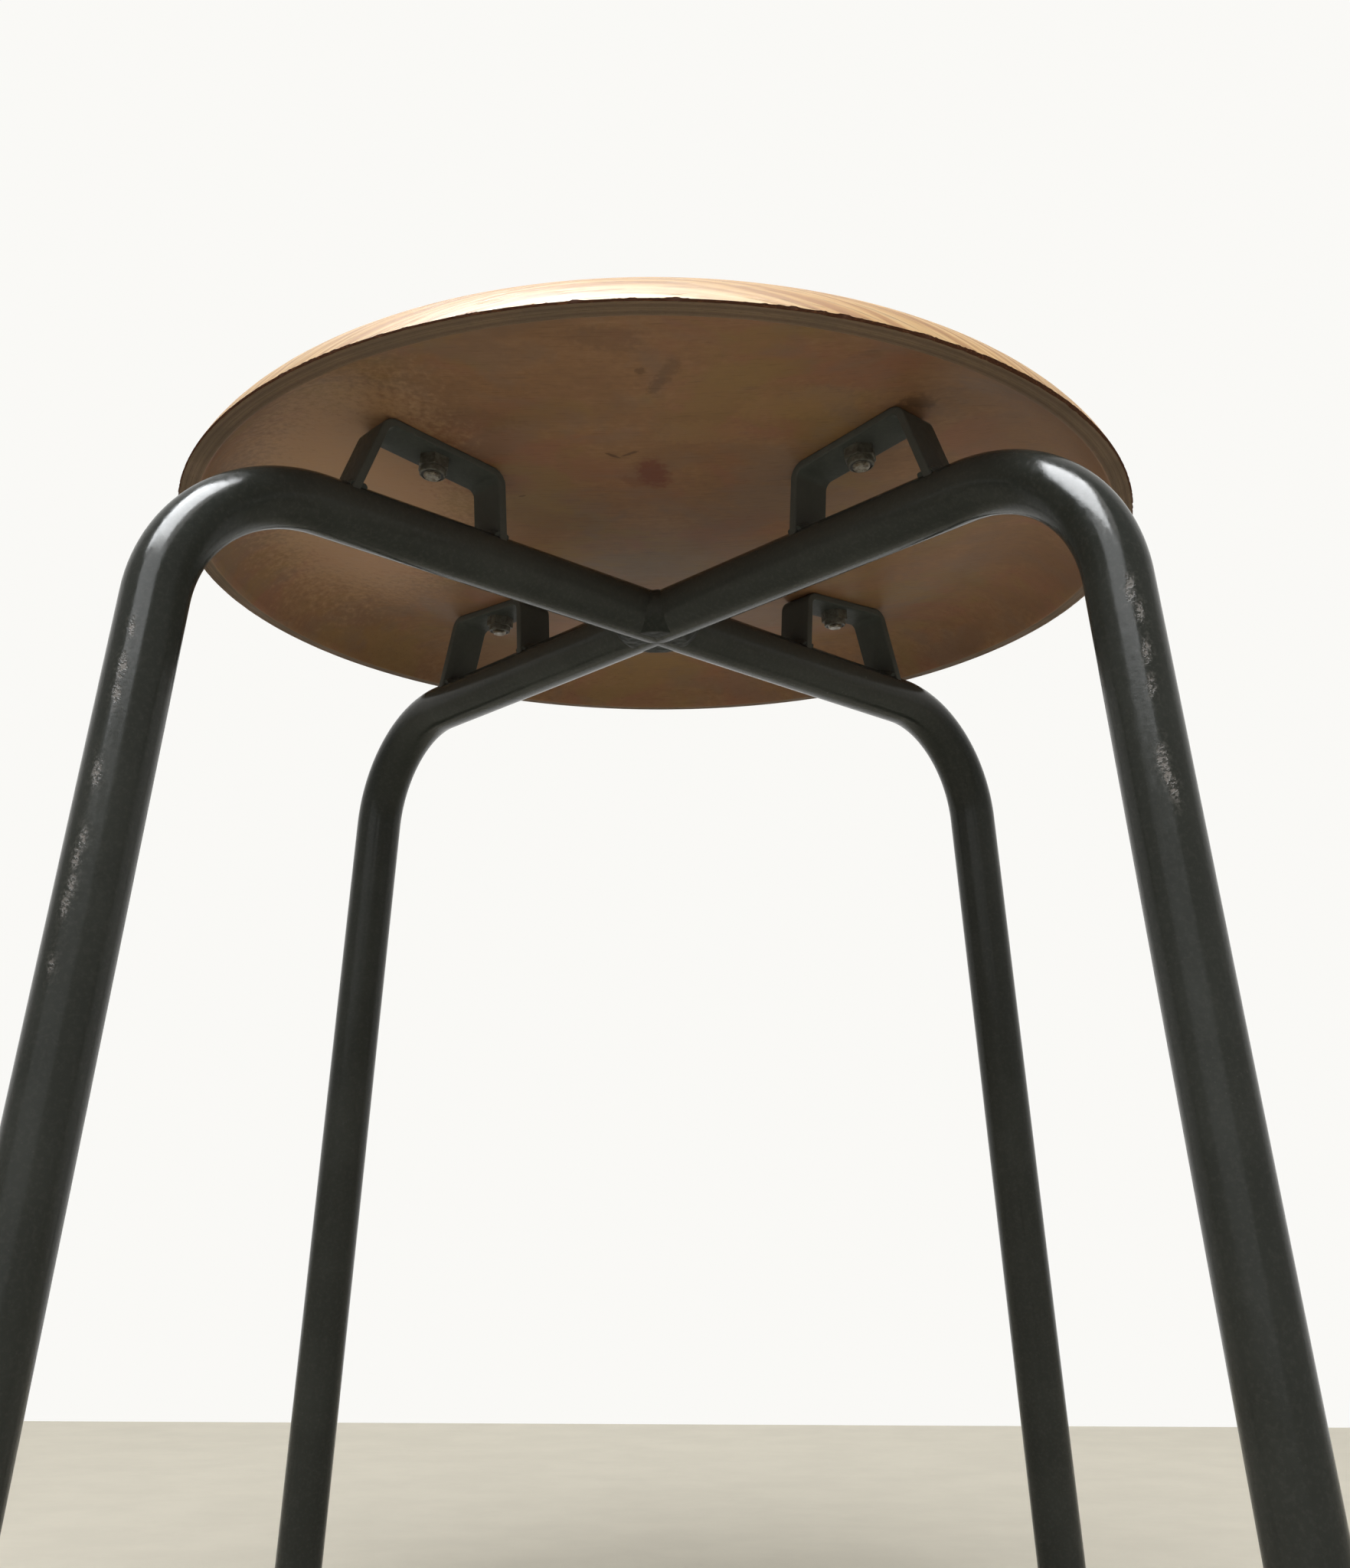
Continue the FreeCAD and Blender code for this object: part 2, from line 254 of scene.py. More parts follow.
def across(run: Vector) -> Vector:
    """A run in the XZ plane turned by a right angle."""
    return flat(-run.z, run.x)


def lean(run: Vector) -> tuple[float, float, float]:
    """The turn that stands something that points up along a run in the XZ plane."""
    return 0.0, math.atan2(run.x, run.z), 0.0


def rod(name: str, radius: float, length: float, middle: Vector, turn: Sequence[float] = (0, 0, 0)) -> Piece:
    """A plain round bar that only cuts others."""
    return primitive(name, bpy.ops.mesh.primitive_cylinder_add, vertices=ROUND_STEPS, radius=radius, depth=length,
                     location=middle, rotation=turn)


def apply(piece: Piece, kind: str, **settings: object) -> None:
    """Adds a modifier with its settings to a piece and applies it."""
    select_only(piece)
    modifier = piece.modifiers.new(kind.lower(), kind)
    for key, value in settings.items():
        setattr(modifier, key, value)
    bpy.ops.object.modifier_apply(modifier=modifier.name)


def carve(piece: Piece, tool: Piece, operation: str = "DIFFERENCE") -> None:
    """Cuts a piece with a tool, joins the two or keeps what they share, and deletes the tool."""
    apply(piece, "BOOLEAN", object=tool, operation=operation, solver="MANIFOLD")
    bpy.data.objects.remove(tool)


def roughen(piece: Piece, grain: float, depth: float) -> None:
    """Pushes a piece's skin in and out by a cloudy noise of a grain, by a depth in all."""
    texture = bpy.data.textures.new(piece.name, "CLOUDS")
    texture.noise_scale = grain
    texture.noise_depth = 1
    apply(piece, "DISPLACE", texture=texture, texture_coords="LOCAL", strength=depth, mid_level=0.5)


def smooth(piece: Piece, angle: float) -> None:
    """Shades a piece smooth where its faces meet below an angle in degrees."""
    select_only(piece)
    bpy.ops.object.shade_smooth_by_angle(angle=math.radians(angle))


def dress(piece: Piece, slot: Slot, node: str, *finishes: "Finish") -> Piece:
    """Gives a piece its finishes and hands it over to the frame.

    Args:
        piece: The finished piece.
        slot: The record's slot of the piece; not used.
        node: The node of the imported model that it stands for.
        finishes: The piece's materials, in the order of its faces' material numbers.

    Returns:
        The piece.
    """
    numbers = [polygon.material_index for polygon in piece.data.polygons]
    piece.data.materials.clear()
    for finish in finishes:
        piece.data.materials.append(finish.material())
    piece.data.polygons.foreach_set("material_index", numbers)
    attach(piece, BODY)
    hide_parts(node)
    log.info("%s: %d faces", piece.name, len(piece.data.polygons))
    return piece


@dataclass(frozen=True)
class Master:
    """A piece that is made once: its smoothing in degrees, its copies' names and nodes, and their finishes."""

    piece: Piece
    angle: float
    name: str
    node: str
    finishes: tuple["Finish", ...]

    def copy_at(self, arm: Arm, slot: Slot) -> Piece:
        """A dressed copy with its own mesh, turned to an arm."""
        select_only(self.piece)
        bpy.ops.object.duplicate(linked=False)
        bpy.context.object.rotation_euler.z = arm.turn
        return dress(settle(self.name + arm.label), slot, self.node + arm.label, *self.finishes)


def set_round(slot: Slot, *masters: Master, arms: Iterable[Arm] = Arm) -> list[Piece]:
    """Sets a dressed copy of each master at each arm, and deletes the masters.

    Args:
        slot: The record's slot of all the copies.
        masters: What is copied, in the order in which the copies of an arm are made.
        arms: Where the copies stand.

    Returns:
        The copies, arm by arm.
    """
    for master in masters:
        smooth(master.piece, master.angle)
    pieces = [master.copy_at(arm, slot) for arm in arms for master in masters]
    for master in masters:
        bpy.data.objects.remove(master.piece)
    return pieces


# Finishes


class Graph:
    """The nodes of one new material, with short ways to lay those that the finishes share."""

    def __init__(self, name: str) -> None:
        """Starts a material with its shader and its coordinates."""
        self.material = bpy.data.materials.new(name)
        self.material.use_nodes = True
        self.nodes = self.material.node_tree.nodes
        self.shader = self.nodes["Principled BSDF"]
        self.output = self.nodes["Material Output"]
        coordinates = self.nodes.new("ShaderNodeTexCoord").outputs
        self.place, self.normal, self.sheet = (coordinates[key] for key in ("Object", "Normal", "UV"))

    def feed(self, socket: Socket, value: Value) -> None:
        """Links a socket to another one, or sets it to a constant."""
        if isinstance(value, Socket):
            self.material.node_tree.links.new(value, socket)
        else:
            socket.default_value = (*value, 1.0) if socket.type == "RGBA" else value

    def set(self, **values: Value) -> None:
        """Feeds the shader's sockets, named in lower case with underscores."""
        for key, value in values.items():
            wanted = key.replace("_", " ")
            self.feed(next(s for s in self.shader.inputs if s.name.lower() == wanted), value)

    def node(self, kind: str, inputs: dict[int | str, Value], output: int | str, **settings: object) -> Socket:
        """Adds a node.

        Args:
            kind: The node's type, without the word that all of them start with.
            inputs: What its sockets are fed, by their numbers or names.
            output: The wanted output's number or name.
            settings: The node's other settings.

        Returns:
            The wanted output.
        """
        node = self.nodes.new("ShaderNode" + kind)
        for key, value in settings.items():
            setattr(node, key, value)
        for key, value in inputs.items():
            self.feed(node.inputs[key], value)
        return node.outputs[output]

    def stretch(self, vector: Value, scale: Sequence[float], location: Sequence[float] = (0, 0, 0),
                rotation: Sequence[float] = (0, 0, 0)) -> Socket:
        """The coordinates after a Mapping node."""
        inputs = {"Vector": vector, "Scale": scale, "Location": location, "Rotation": rotation}
        return self.node("Mapping", inputs, "Vector")

    def noise(self, vector: Value, scale: float | Sequence[float], detail: float = 2.0, roughness: float = 0.5,
              distortion: float = 0.0, output: str = "Fac") -> Socket:
        """A noise with one scale, in waves per metre, or with one along each axis."""
        if not isinstance(scale, float):
            vector, scale = self.stretch(vector, scale), 1.0
        inputs = {"Vector": vector, "Scale": scale, "Detail": detail, "Roughness": roughness, "Distortion": distortion}
        return self.node("TexNoise", inputs, output)

    def shake(self, scale: float, roughness: float) -> Socket:
        """A vector of noise that goes both ways along each axis, to tear an outline with."""
        colour = self.noise(self.place, scale, 3.0, roughness, output="Color")
        return self.vector("SUBTRACT", colour, (0.5, 0.5, 0.5))

    def calc(self, operation: str, *parts: Value) -> Socket:
        """One operation of a Math node."""
        return self.node("Math", dict(enumerate(parts)), "Value", operation=operation)

    def times(self, first: Value, second: Value) -> Socket:
        """Two values multiplied."""
        return self.calc("MULTIPLY", first, second)

    def weigh(self, *shares: tuple[Value, float]) -> Socket:
        """The sum of values that are each multiplied by a weight."""
        total: Value = 0.0
        for value, weight in shares:
            total = self.calc("MULTIPLY_ADD", value, weight, total)
        return total

    def vector(self, operation: str, *parts: Value) -> Socket:
        """One operation of a Vector Math node; a distance or a length comes out as a value."""
        output = "Value" if operation in ("DISTANCE", "LENGTH") else "Vector"
        return self.node("VectorMath", dict(enumerate(parts)), output, operation=operation)

    def part(self, vector: Value, axis: str) -> Socket:
        """A vector's X, Y or Z."""
        return self.node("SeparateXYZ", {0: vector}, axis)

    def fit(self, value: Value, low: float, high: float, to_low: float = 0.0, to_high: float = 1.0) -> Socket:
        """A value from one range brought to another, softly at its ends, and held there."""
        inputs = dict(enumerate((value, low, high, to_low, to_high)))
        return self.node("MapRange", inputs, "Result", interpolation_type="SMOOTHSTEP", clamp=True)

    def ramp(self, value: Value, *stops: tuple[float, Colour]) -> Socket:
        """A colour from stops along a value from 0 to 1."""
        output = self.node("ValToRGB", {"Fac": value}, "Color")
        elements = output.node.color_ramp.elements
        while len(elements) < len(stops):
            elements.new(0.5)
        for element, (position, colour) in zip(elements, stops):
            element.position = position
            element.color = (*colour, 1.0)
        return output

    def mix(self, share: Value, first: Value, second: Value, blend: str = "MIX") -> Socket:
        """One colour mixed into another by a share."""
        return self.node("Mix", {0: share, 6: first, 7: second}, 2, data_type="RGBA", blend_type=blend)

    def tint(self, colour: Value, tint: Colour, value: Value, low: float, high: float, least: float = 0.0,
             most: float = 1.0) -> Socket:
        """A colour under a tint, whose share goes from least to most as a value goes from low to high."""
        return self.mix(self.fit(value, low, high, least, most), colour, tint)

    def bump(self, height: Value, distance: float, **below: Value) -> Socket:
        """A normal raised by a height from 0 to 1 times a distance, over another such Normal."""
        return self.node("Bump", {"Height": height, "Distance": distance, **below}, "Normal")


class Finish(ABC):
    """A finish that knows how to lay its own nodes."""

    name: ClassVar[str]

    @abstractmethod
    def lay(self, graph: Graph) -> None:
        """Lays the finish's nodes in a new material."""

    def material(self) -> bpy.types.Material:
        """The finish's material, made when it is first asked for."""
        found = bpy.data.materials.get(self.name)
        if found is None:
            graph = Graph(self.name)
            self.lay(graph)
            found = graph.material
        return found


@dataclass(frozen=True)
class FaceVeneer(Finish):
    """Honey-coloured veneer under a clear satin lacquer, its grain along X on the flat sheet."""

    name: ClassVar[str] = "face_veneer_lacquered"
    light: Colour = (0.66, 0.445, 0.205)
    warm: Colour = (0.56, 0.320, 0.108)
    dark: Colour = (0.38, 0.175, 0.045)
    pore: Colour = (0.18, 0.075, 0.025)
    band_pitch: float = 5 * MM

    def lay(self, graph: Graph) -> None:
        """Bands of growth, fibres, pores and flecks under an even coat."""
        sheet = graph.sheet
        sway = graph.noise(graph.stretch(sheet, (1.4, 7.0, 1.0)), 3.0, 3.0)
        fibre = graph.noise(sheet, (16.0, 620.0, 1.0), 5.0, 0.65)
        swayed = graph.weigh((graph.part(sheet, "Y"), 1.0), (sway, 0.05), (fibre, 0.004))
        growth = graph.fit(graph.calc("SINE", graph.times(swayed, math.tau / self.band_pitch)), -1.0, 1.0)
        streak = graph.noise(sheet, (5.0, 110.0, 1.0), 5.0, 0.65)
        tone = graph.weigh((growth, 0.24), (streak, 0.55), (fibre, 0.4))
        colour = graph.ramp(tone, (0.38, self.light), (0.58, self.warm), (0.76, self.dark))
        sparse = graph.fit(graph.noise(sheet, (45.0, 900.0, 1.0), 2.0, 0.6), 0.56, 0.68)
        colour = graph.mix(graph.times(sparse, 0.5), colour, self.pore)
        colour = graph.tint(colour, self.light, graph.noise(sheet, 11.0), 0.35, 0.7, 0.0, 0.25)
        graph.set(base_color=colour, roughness=graph.fit(fibre, 0.3, 0.7, 0.41, 0.55), specular_ior_level=0.36,
                  normal=graph.bump(graph.weigh((fibre, 1.0), (sparse, -0.7)), 0.2 * MM))


@dataclass(frozen=True)
class SawnPlies(Finish):
    """The sawn and dirtied edge of the plies. Its sheet map runs round the rim and through the thickness."""

    name: ClassVar[str] = "core_plies_sawn"
    long_grain: Colour = (0.158, 0.107, 0.067)
    end_grain: Colour = (0.120, 0.080, 0.051)
    glue: Colour = (0.078, 0.048, 0.031)
    dirt: Colour = (0.106, 0.078, 0.055)
    ply: float = 1.37 * MM
    first_glue: float = 1.2 * MM

    def lay(self, graph: Graph) -> None:
        """Alternate plies with thin glue lines, saw marks and dirt."""
        sheet = graph.sheet
        wobble = graph.noise(sheet, (60.0, 60.0, 1.0))
        depth = graph.weigh((graph.part(sheet, "Y"), 1.0), (wobble, 0.5 * MM))
        turn = graph.calc("DIVIDE", graph.calc("SUBTRACT", depth, self.first_glue), self.ply)
        layer, nearest = graph.calc("PINGPONG", turn, 1.0), graph.calc("PINGPONG", turn, 0.5)
        colour = graph.tint(self.long_grain, self.end_grain, layer, 0.35, 0.65)
        fleck = graph.noise(sheet, (420.0, 2600.0, 1.0), 2.0, 0.6)
        colour = graph.tint(colour, self.glue, fleck, 0.5, 0.75, 0.0, 0.55)
        colour = graph.tint(colour, self.glue, nearest, 0.0, 0.09, 0.5, 0.0)
        dirt = graph.noise(graph.place, 42.0, 4.0, 0.6)
        colour = graph.tint(colour, self.dirt, dirt, 0.42, 0.66, 0.1, 0.65)
        saw = graph.noise(sheet, (900.0, 160.0, 1.0), 1.0)
        height = graph.calc("ADD", saw, graph.fit(nearest, 0.0, 0.12))
        graph.set(base_color=colour, roughness=graph.fit(dirt, 0.3, 0.7, 0.62, 0.85), ior=1.45,
                  specular_ior_level=0.15, normal=graph.bump(height, 0.08 * MM))


@dataclass(frozen=True)
class TornVeneer(Finish):
    """Dark stained fibres where the face veneer has chipped along the rim."""

    name: ClassVar[str] = "face_veneer_torn"
    stain: Colour = (0.058, 0.025, 0.014)
    fresh: Colour = (0.135, 0.058, 0.028)

    def lay(self, graph: Graph) -> None:
        """Short dark fibres with a few fresh ones."""
        fibre = graph.noise(graph.place, (300.0, 1900.0, 1900.0), 2.0, 0.6)
        graph.set(base_color=graph.tint(self.stain, self.fresh, fibre, 0.52, 0.72),
                  roughness=graph.fit(fibre, 0.3, 0.7, 0.8, 0.95), ior=1.45, specular_ior_level=0.04,
                  normal=graph.bump(fibre, 0.2 * MM))


@dataclass(frozen=True)
class Mark:
    """A stain, scuff, paler patch or painted shadow on the underside: an oval with a ragged edge, in millimetres and
    degrees.
    """

    x: float
    y: float
    length: float
    width: float
    turn: float
    tint: Colour
    strength: float
    ragged: float


RED: Colour = (0.125, 0.036, 0.022)
BLACK: Colour = (0.030, 0.018, 0.012)
PINK: Colour = (0.27, 0.115, 0.062)
OCHRE: Colour = (0.26, 0.150, 0.066)
UMBER: Colour = (0.115, 0.062, 0.036)
PALE: Colour = (0.345, 0.205, 0.107)

UNDERSIDE_MARKS = (
    Mark(1.8, -60.5, 12.5, 22.0, -8, RED, 0.75, 0.55),
    Mark(-5.6, -55.0, 12.0, 7.0, 35, RED, 0.28, 0.8),
    Mark(5.8, -112.6, 11.0, 5.0, -58, BLACK, 0.27, 0.9),
    Mark(10.2, -120.6, 15.0, 6.5, -62, BLACK, 0.25, 0.9),
    Mark(1.2, -120.6, 4.4, 3.4, 0, BLACK, 0.4, 0.7),
    Mark(-11.6, -73.0, 7.0, 1.7, 35, BLACK, 0.6, 0.6),
    Mark(-5.8, -73.8, 7.5, 1.6, -30, BLACK, 0.55, 0.6),
    Mark(74.8, -123.1, 7.5, 4.2, 15, BLACK, 0.15, 0.6),
    # Painted shadow: a dark patch at the outer end of the front right bracket.
    Mark(92.3, -95.2, 15.0, 8.0, 26, BLACK, 0.4, 0.8),
    Mark(-8.6, -137.0, 26.0, 12.0, 6, UMBER, 0.4, 0.8),
    Mark(-47.3, -44.6, 3.4, 0.9, -20, BLACK, 0.6, 0.4),
    Mark(14.0, 118.0, 9.0, 3.0, 40, BLACK, 0.4, 0.7),
    Mark(52.0, 40.0, 26.0, 14.0, 30, PINK, 0.3, 0.8),
    Mark(-30.0, 30.0, 34.0, 18.0, -15, PINK, 0.28, 0.8),
    Mark(-60.0, -95.0, 40.0, 16.0, 8, UMBER, 0.3, 0.8),
    # A large paler area over the left of the underside.
    Mark(-112.0, -30.0, 90.0, 210.0, 12, PALE, 0.65, 0.5),
    Mark(52.0, -100.0, 46.0, 20.0, -6, OCHRE, 0.3, 0.8),
    Mark(20.0, -86.0, 40.0, 16.0, 4, OCHRE, 0.28, 0.8),
)


@dataclass(frozen=True)
class UndersideVeneer(Finish):
    """Brown-stained veneer with a satin feel, fine grain along X, blotches and marks."""

    name: ClassVar[str] = "underside_veneer_stained"
    stain: Colour = (0.206, 0.109, 0.053)
    deep: Colour = (0.162, 0.085, 0.042)
    pale: Colour = (0.252, 0.145, 0.077)
    rosy: Colour = (0.212, 0.092, 0.055)
    olive: Colour = (0.196, 0.122, 0.046)
    grey: Colour = (0.165, 0.105, 0.070)
    pore: Colour = (0.070, 0.036, 0.020)
    marks: tuple[Mark, ...] = UNDERSIDE_MARKS

    def lay(self, graph: Graph) -> None:
        """Stain, blotches and pores, then the marks one by one."""
        place = graph.place
        grain = graph.noise(place, (14.0, 420.0, 420.0), 5.0, 0.65, 0.3)
        band = graph.noise(place, (9.0, 34.0, 34.0), 4.0, 0.55, 0.5)
        speck = graph.noise(place, (260.0, 420.0, 420.0), 4.0, 0.7)
        tone = graph.weigh((grain, 0.25), (band, 0.3), (speck, 0.45))
        colour = graph.ramp(tone, (0.34, self.deep), (0.5, self.stain), (0.68, self.pale))
        for shift, scale, tint, share in ((0.0, 19.0, self.rosy, 0.6), (3.1, 24.0, self.olive, 0.6),
                                          (7.7, 31.0, self.grey, 0.5), (11.3, 15.0, self.deep, 0.45)):
            cloud = graph.noise(graph.stretch(place, (0.85, 1.1, 1.1), (shift, shift, 0.0)), scale, 4.0, 0.6, 0.5)
            colour = graph.tint(colour, tint, cloud, 0.47, 0.62, 0.0, share)
        pores = graph.noise(place, (90.0, 2200.0, 2200.0), 1.0)
        colour = graph.tint(colour, self.pore, pores, 0.62, 0.76, 0.0, 0.35)
        ragged = graph.shake(420.0, 0.6)
        for mark in self.marks:
            colour = self.marked(graph, colour, ragged, mark)
        graph.set(base_color=colour, roughness=graph.fit(tone, 0.3, 0.7, 0.46, 0.6), ior=1.45,
                  specular_ior_level=0.25, normal=graph.bump(graph.weigh((grain, 1.0), (pores, -0.6)), 0.06 * MM))

    @staticmethod
    def marked(graph: Graph, colour: Value, ragged: Value, mark: Mark) -> Socket:
        """The colour with one mark laid over it."""
        turn = math.radians(mark.turn)
        middle = Matrix.Rotation(-turn, 3, "Z") @ Vector((mark.x * MM, mark.y * MM, 0.0))
        scale = 2 / (mark.length * MM), 2 / (mark.width * MM), 0.0
        location = -middle.x * scale[0], -middle.y * scale[1], 0.0
        local = graph.stretch(graph.stretch(graph.place, (1, 1, 0), rotation=(0, 0, -turn)), scale, location)
        torn = graph.vector("MULTIPLY_ADD", ragged, (mark.ragged * 2.2,) * 3, local)
        return graph.tint(colour, mark.tint, graph.vector("LENGTH", torn), 0.55, 1.15, mark.strength, 0.0)


@dataclass(frozen=True)
class Chip:
    """A spot on a leg where the paint is knocked off or rubbed thin, in millimetres."""

    x: float
    y: float
    z: float
    size: float


LEFT_CHIPS = (
    Chip(-141.5, -151.3, 344.2, 0.5), Chip(-142.6, -152.2, 332.1, 1.2), Chip(-143.2, -152.8, 324.0, 0.9),
    Chip(-145.6, -154.4, 300.5, 1.2), Chip(-146.8, -155.8, 281.3, 0.9), Chip(-148.0, -156.1, 276.2, 1.1),
    Chip(-148.1, -156.7, 268.5, 0.8), Chip(-149.2, -157.0, 262.8, 1.0), Chip(-150.6, -158.6, 247.0, 0.6),
)
RIGHT_CHIPS = (
    Chip(140.4, -150.8, 350.8, 1.3), Chip(142.2, -151.3, 343.7, 0.9), Chip(142.9, -152.2, 331.9, 1.0),
    Chip(143.0, -152.9, 321.6, 0.8), Chip(143.8, -154.5, 300.3, 1.5), Chip(144.6, -154.8, 295.8, 0.9),
    Chip(145.9, -155.1, 291.8, 1.0),
)


@dataclass(frozen=True)
class BlackPaint(Finish):
    """Black gloss paint with a faint orange peel, dust, chips down to a grey ground, and painted light on shaded
    parts.
    """

    name: ClassVar[str] = "frame_paint_black_gloss"
    paint: Colour = (0.0215, 0.0242, 0.0210)
    faded: Colour = (0.0280, 0.0310, 0.0272)
    ground: Colour = (0.205, 0.185, 0.172)
    # Real dust in the specks and rubs, and also the colour of the painted light.
    dust: Colour = (0.105, 0.102, 0.094)
    chips: tuple[Chip, ...] = LEFT_CHIPS + RIGHT_CHIPS
    drawn_out: float = 3.0
    # Shares of painted light: it pales the shaded sides of pieces under the seat, and the legs below the arms.
    side_shade_lift: float = 0.25
    leg_light_lift: float = 0.06
    matt: tuple[float, float] = (0.11, 0.18)
    shine: float = 0.14

    def lay(self, graph: Graph) -> None:
        """Paint, then dust and painted light, then chips that take the shine with them."""
        place = graph.place
        cloud = graph.noise(place, 26.0, 4.0, 0.55)
        colour = graph.tint(self.paint, self.faded, cloud, 0.4, 0.7)
        points = graph.node("TexVoronoi", {"Vector": place, "Scale": 620.0}, "Distance")
        specks = graph.times(graph.fit(points, 0.0, 0.2, 1.0, 0.0), graph.fit(graph.noise(place, 60.0), 0.5, 0.68))
        colour = graph.mix(graph.times(specks, 0.25), colour, self.dust)
        # Painted light: the shaded sides under the seat and the legs below the arms turn paler.
        colour = graph.mix(self.painted_light_share(graph), colour, self.dust)
        colour = graph.tint(colour, self.dust, graph.noise(place, 700.0, 3.0, 0.7), 0.45, 0.68, 0.0, 0.09)
        nearest = self.nearest_chip(graph)
        chipped = graph.times(graph.fit(nearest, -0.2 * MM, 1.2 * MM, 1.0, 0.0),
                              graph.fit(graph.noise(place, 1100.0, 3.0, 0.6), 0.44, 0.56, 0.1, 1.0))
        colour = graph.mix(graph.times(chipped, 0.68), colour, self.ground)
        rub = graph.times(graph.fit(nearest, 0.0, 3.2 * MM, 1.0, 0.0),
                          graph.fit(graph.noise(place, 700.0, 4.0, 0.65), 0.42, 0.68))
        colour = graph.mix(graph.times(rub, 0.4), colour, self.dust)
        haze = graph.fit(graph.noise(graph.stretch(place, (1.0, 1.0, 0.5)), 520.0, 4.0, 0.65), 0.35, 0.7, 0.0, 0.1)
        rough = graph.weigh((graph.fit(cloud, 0.3, 0.7, *self.matt), 1.0), (chipped, 0.4), (haze, 1.0))
        peel = graph.bump(graph.noise(place, 330.0, 5.0, 0.62), 0.05 * MM)
        normal = graph.bump(graph.calc("SUBTRACT", 1.0, chipped), 0.12 * MM, Normal=peel)
        graph.set(base_color=colour, roughness=rough, specular_ior_level=self.shine, normal=normal)

    def nearest_chip(self, graph: Graph) -> Value:
        """How far the nearest chip's edge is; each chip is ragged, drawn out along the leg and stands on two legs."""
        torn = graph.vector("MULTIPLY_ADD", graph.shake(900.0, 0.7), (0.0026, 0.0026, 0.006), graph.place)
        drawn = graph.stretch(torn, (1.0, 1.0, 1 / self.drawn_out))
        nearest: Value = 1.0
        for side, chip in product((1, -1), self.chips):
            middle = chip.x * side * MM, chip.y * side * MM, chip.z * MM / self.drawn_out
            far = graph.vector("DISTANCE", drawn, middle)
            nearest = graph.calc("MINIMUM", nearest, graph.calc("SUBTRACT", far, chip.size * MM / 2))
        return nearest

    def painted_light_share(self, graph: Graph) -> Socket:
        """How much painted light pales the paint: on the shaded sides of the arms below the seat, and thinly down the
        legs.
        """
        height = graph.part(graph.place, "Z")
        reach = graph.vector("LENGTH", graph.stretch(graph.place, (1, 1, 0)))
        under_seat = graph.times(graph.fit(height, 0.375, 0.392), graph.fit(reach, 0.15, 0.178, 1.0, 0.0))
        sides = graph.times(under_seat, graph.fit(graph.part(graph.normal, "Z"), -0.85, 0.05, 0.0, self.side_shade_lift))
        return graph.calc("ADD", sides, graph.fit(height, 0.34, 0.39, self.leg_light_lift, 0.0))


@dataclass(frozen=True)
class DullPaint(BlackPaint):
    """The same paint on the crossing's weld: a little darker as painted shade, matt, and without chips."""

    name: ClassVar[str] = "frame_paint_black_dull"
    # Darker than the tubes' paint: painted shade, so the weld is no lighter than the shaded arms beside it.
    paint: Colour = (0.0185, 0.0207, 0.0180)
    faded: Colour = (0.0250, 0.0277, 0.0242)
    chips: tuple[Chip, ...] = ()
    matt: tuple[float, float] = (0.36, 0.48)
    shine: float = 0.05


@dataclass(frozen=True)
class FillLitPaint(DullPaint):
    """The same paint on the brackets and their welds, paler, with painted fill light on their shade under the seat."""

    name: ClassVar[str] = "frame_paint_black_fill_lit"
    # About twice as pale as the tubes' paint: painted fill light on the shade under the seat.
    paint: Colour = (0.044, 0.048, 0.043)
    faded: Colour = (0.056, 0.060, 0.054)
    side_shade_lift: float = 0.35
    shine: float = 0.04


@dataclass(frozen=True)
class PlatedSteel(Finish):
    """Dull zinc plating, browned in places."""

    name: ClassVar[str] = "plated_steel_dull"
    zinc: Colour = (0.24, 0.222, 0.185)
    brown: Colour = (0.125, 0.100, 0.070)
    dirt: Colour = (0.045, 0.036, 0.027)
    metal: float = 0.9
    matt: tuple[float, float] = (0.32, 0.55)

    def lay(self, graph: Graph) -> None:
        """Zinc with brown stains, dirt and fine scratches."""
        stain, dirt = graph.noise(graph.place, 380.0, 4.0, 0.6), graph.noise(graph.place, 900.0, 3.0, 0.6)
        colour = graph.tint(self.zinc, self.brown, stain, 0.42, 0.62)
        scratch = graph.noise(graph.place, (400.0, 4000.0, 4000.0))
        graph.set(base_color=graph.tint(colour, self.dirt, dirt, 0.52, 0.7, 0.0, 0.8),
                  metallic=graph.fit(dirt, 0.45, 0.7, self.metal, self.metal * 0.4),
                  roughness=graph.fit(stain, 0.3, 0.7, *self.matt),
                  normal=graph.bump(graph.calc("ADD", scratch, dirt), 0.03 * MM))


@dataclass(frozen=True)
class DarkerNutSteel(PlatedSteel):
    """The nuts' plating, darker, browner and less metallic than the bolts'."""

    name: ClassVar[str] = "plated_steel_darker"
    zinc: Colour = (0.100, 0.098, 0.080)
    brown: Colour = (0.062, 0.056, 0.043)
    metal: float = 0.35
    matt: tuple[float, float] = (0.42, 0.68)


@dataclass(frozen=True)
class InsertRing(Finish):
    """The dark locking ring inside a nut's collar."""

    name: ClassVar[str] = "plated_steel_insert"
    tone: Colour = (0.018, 0.017, 0.016)
    worn: Colour = (0.045, 0.041, 0.036)

    def lay(self, graph: Graph) -> None:
        """Matt plastic with a little dirt."""
        dirt = graph.noise(graph.place, 1200.0, 3.0)
        graph.set(base_color=graph.tint(self.tone, self.worn, dirt, 0.4, 0.7),
                  roughness=graph.fit(dirt, 0.3, 0.7, 0.5, 0.7), normal=graph.bump(dirt, 0.02 * MM))


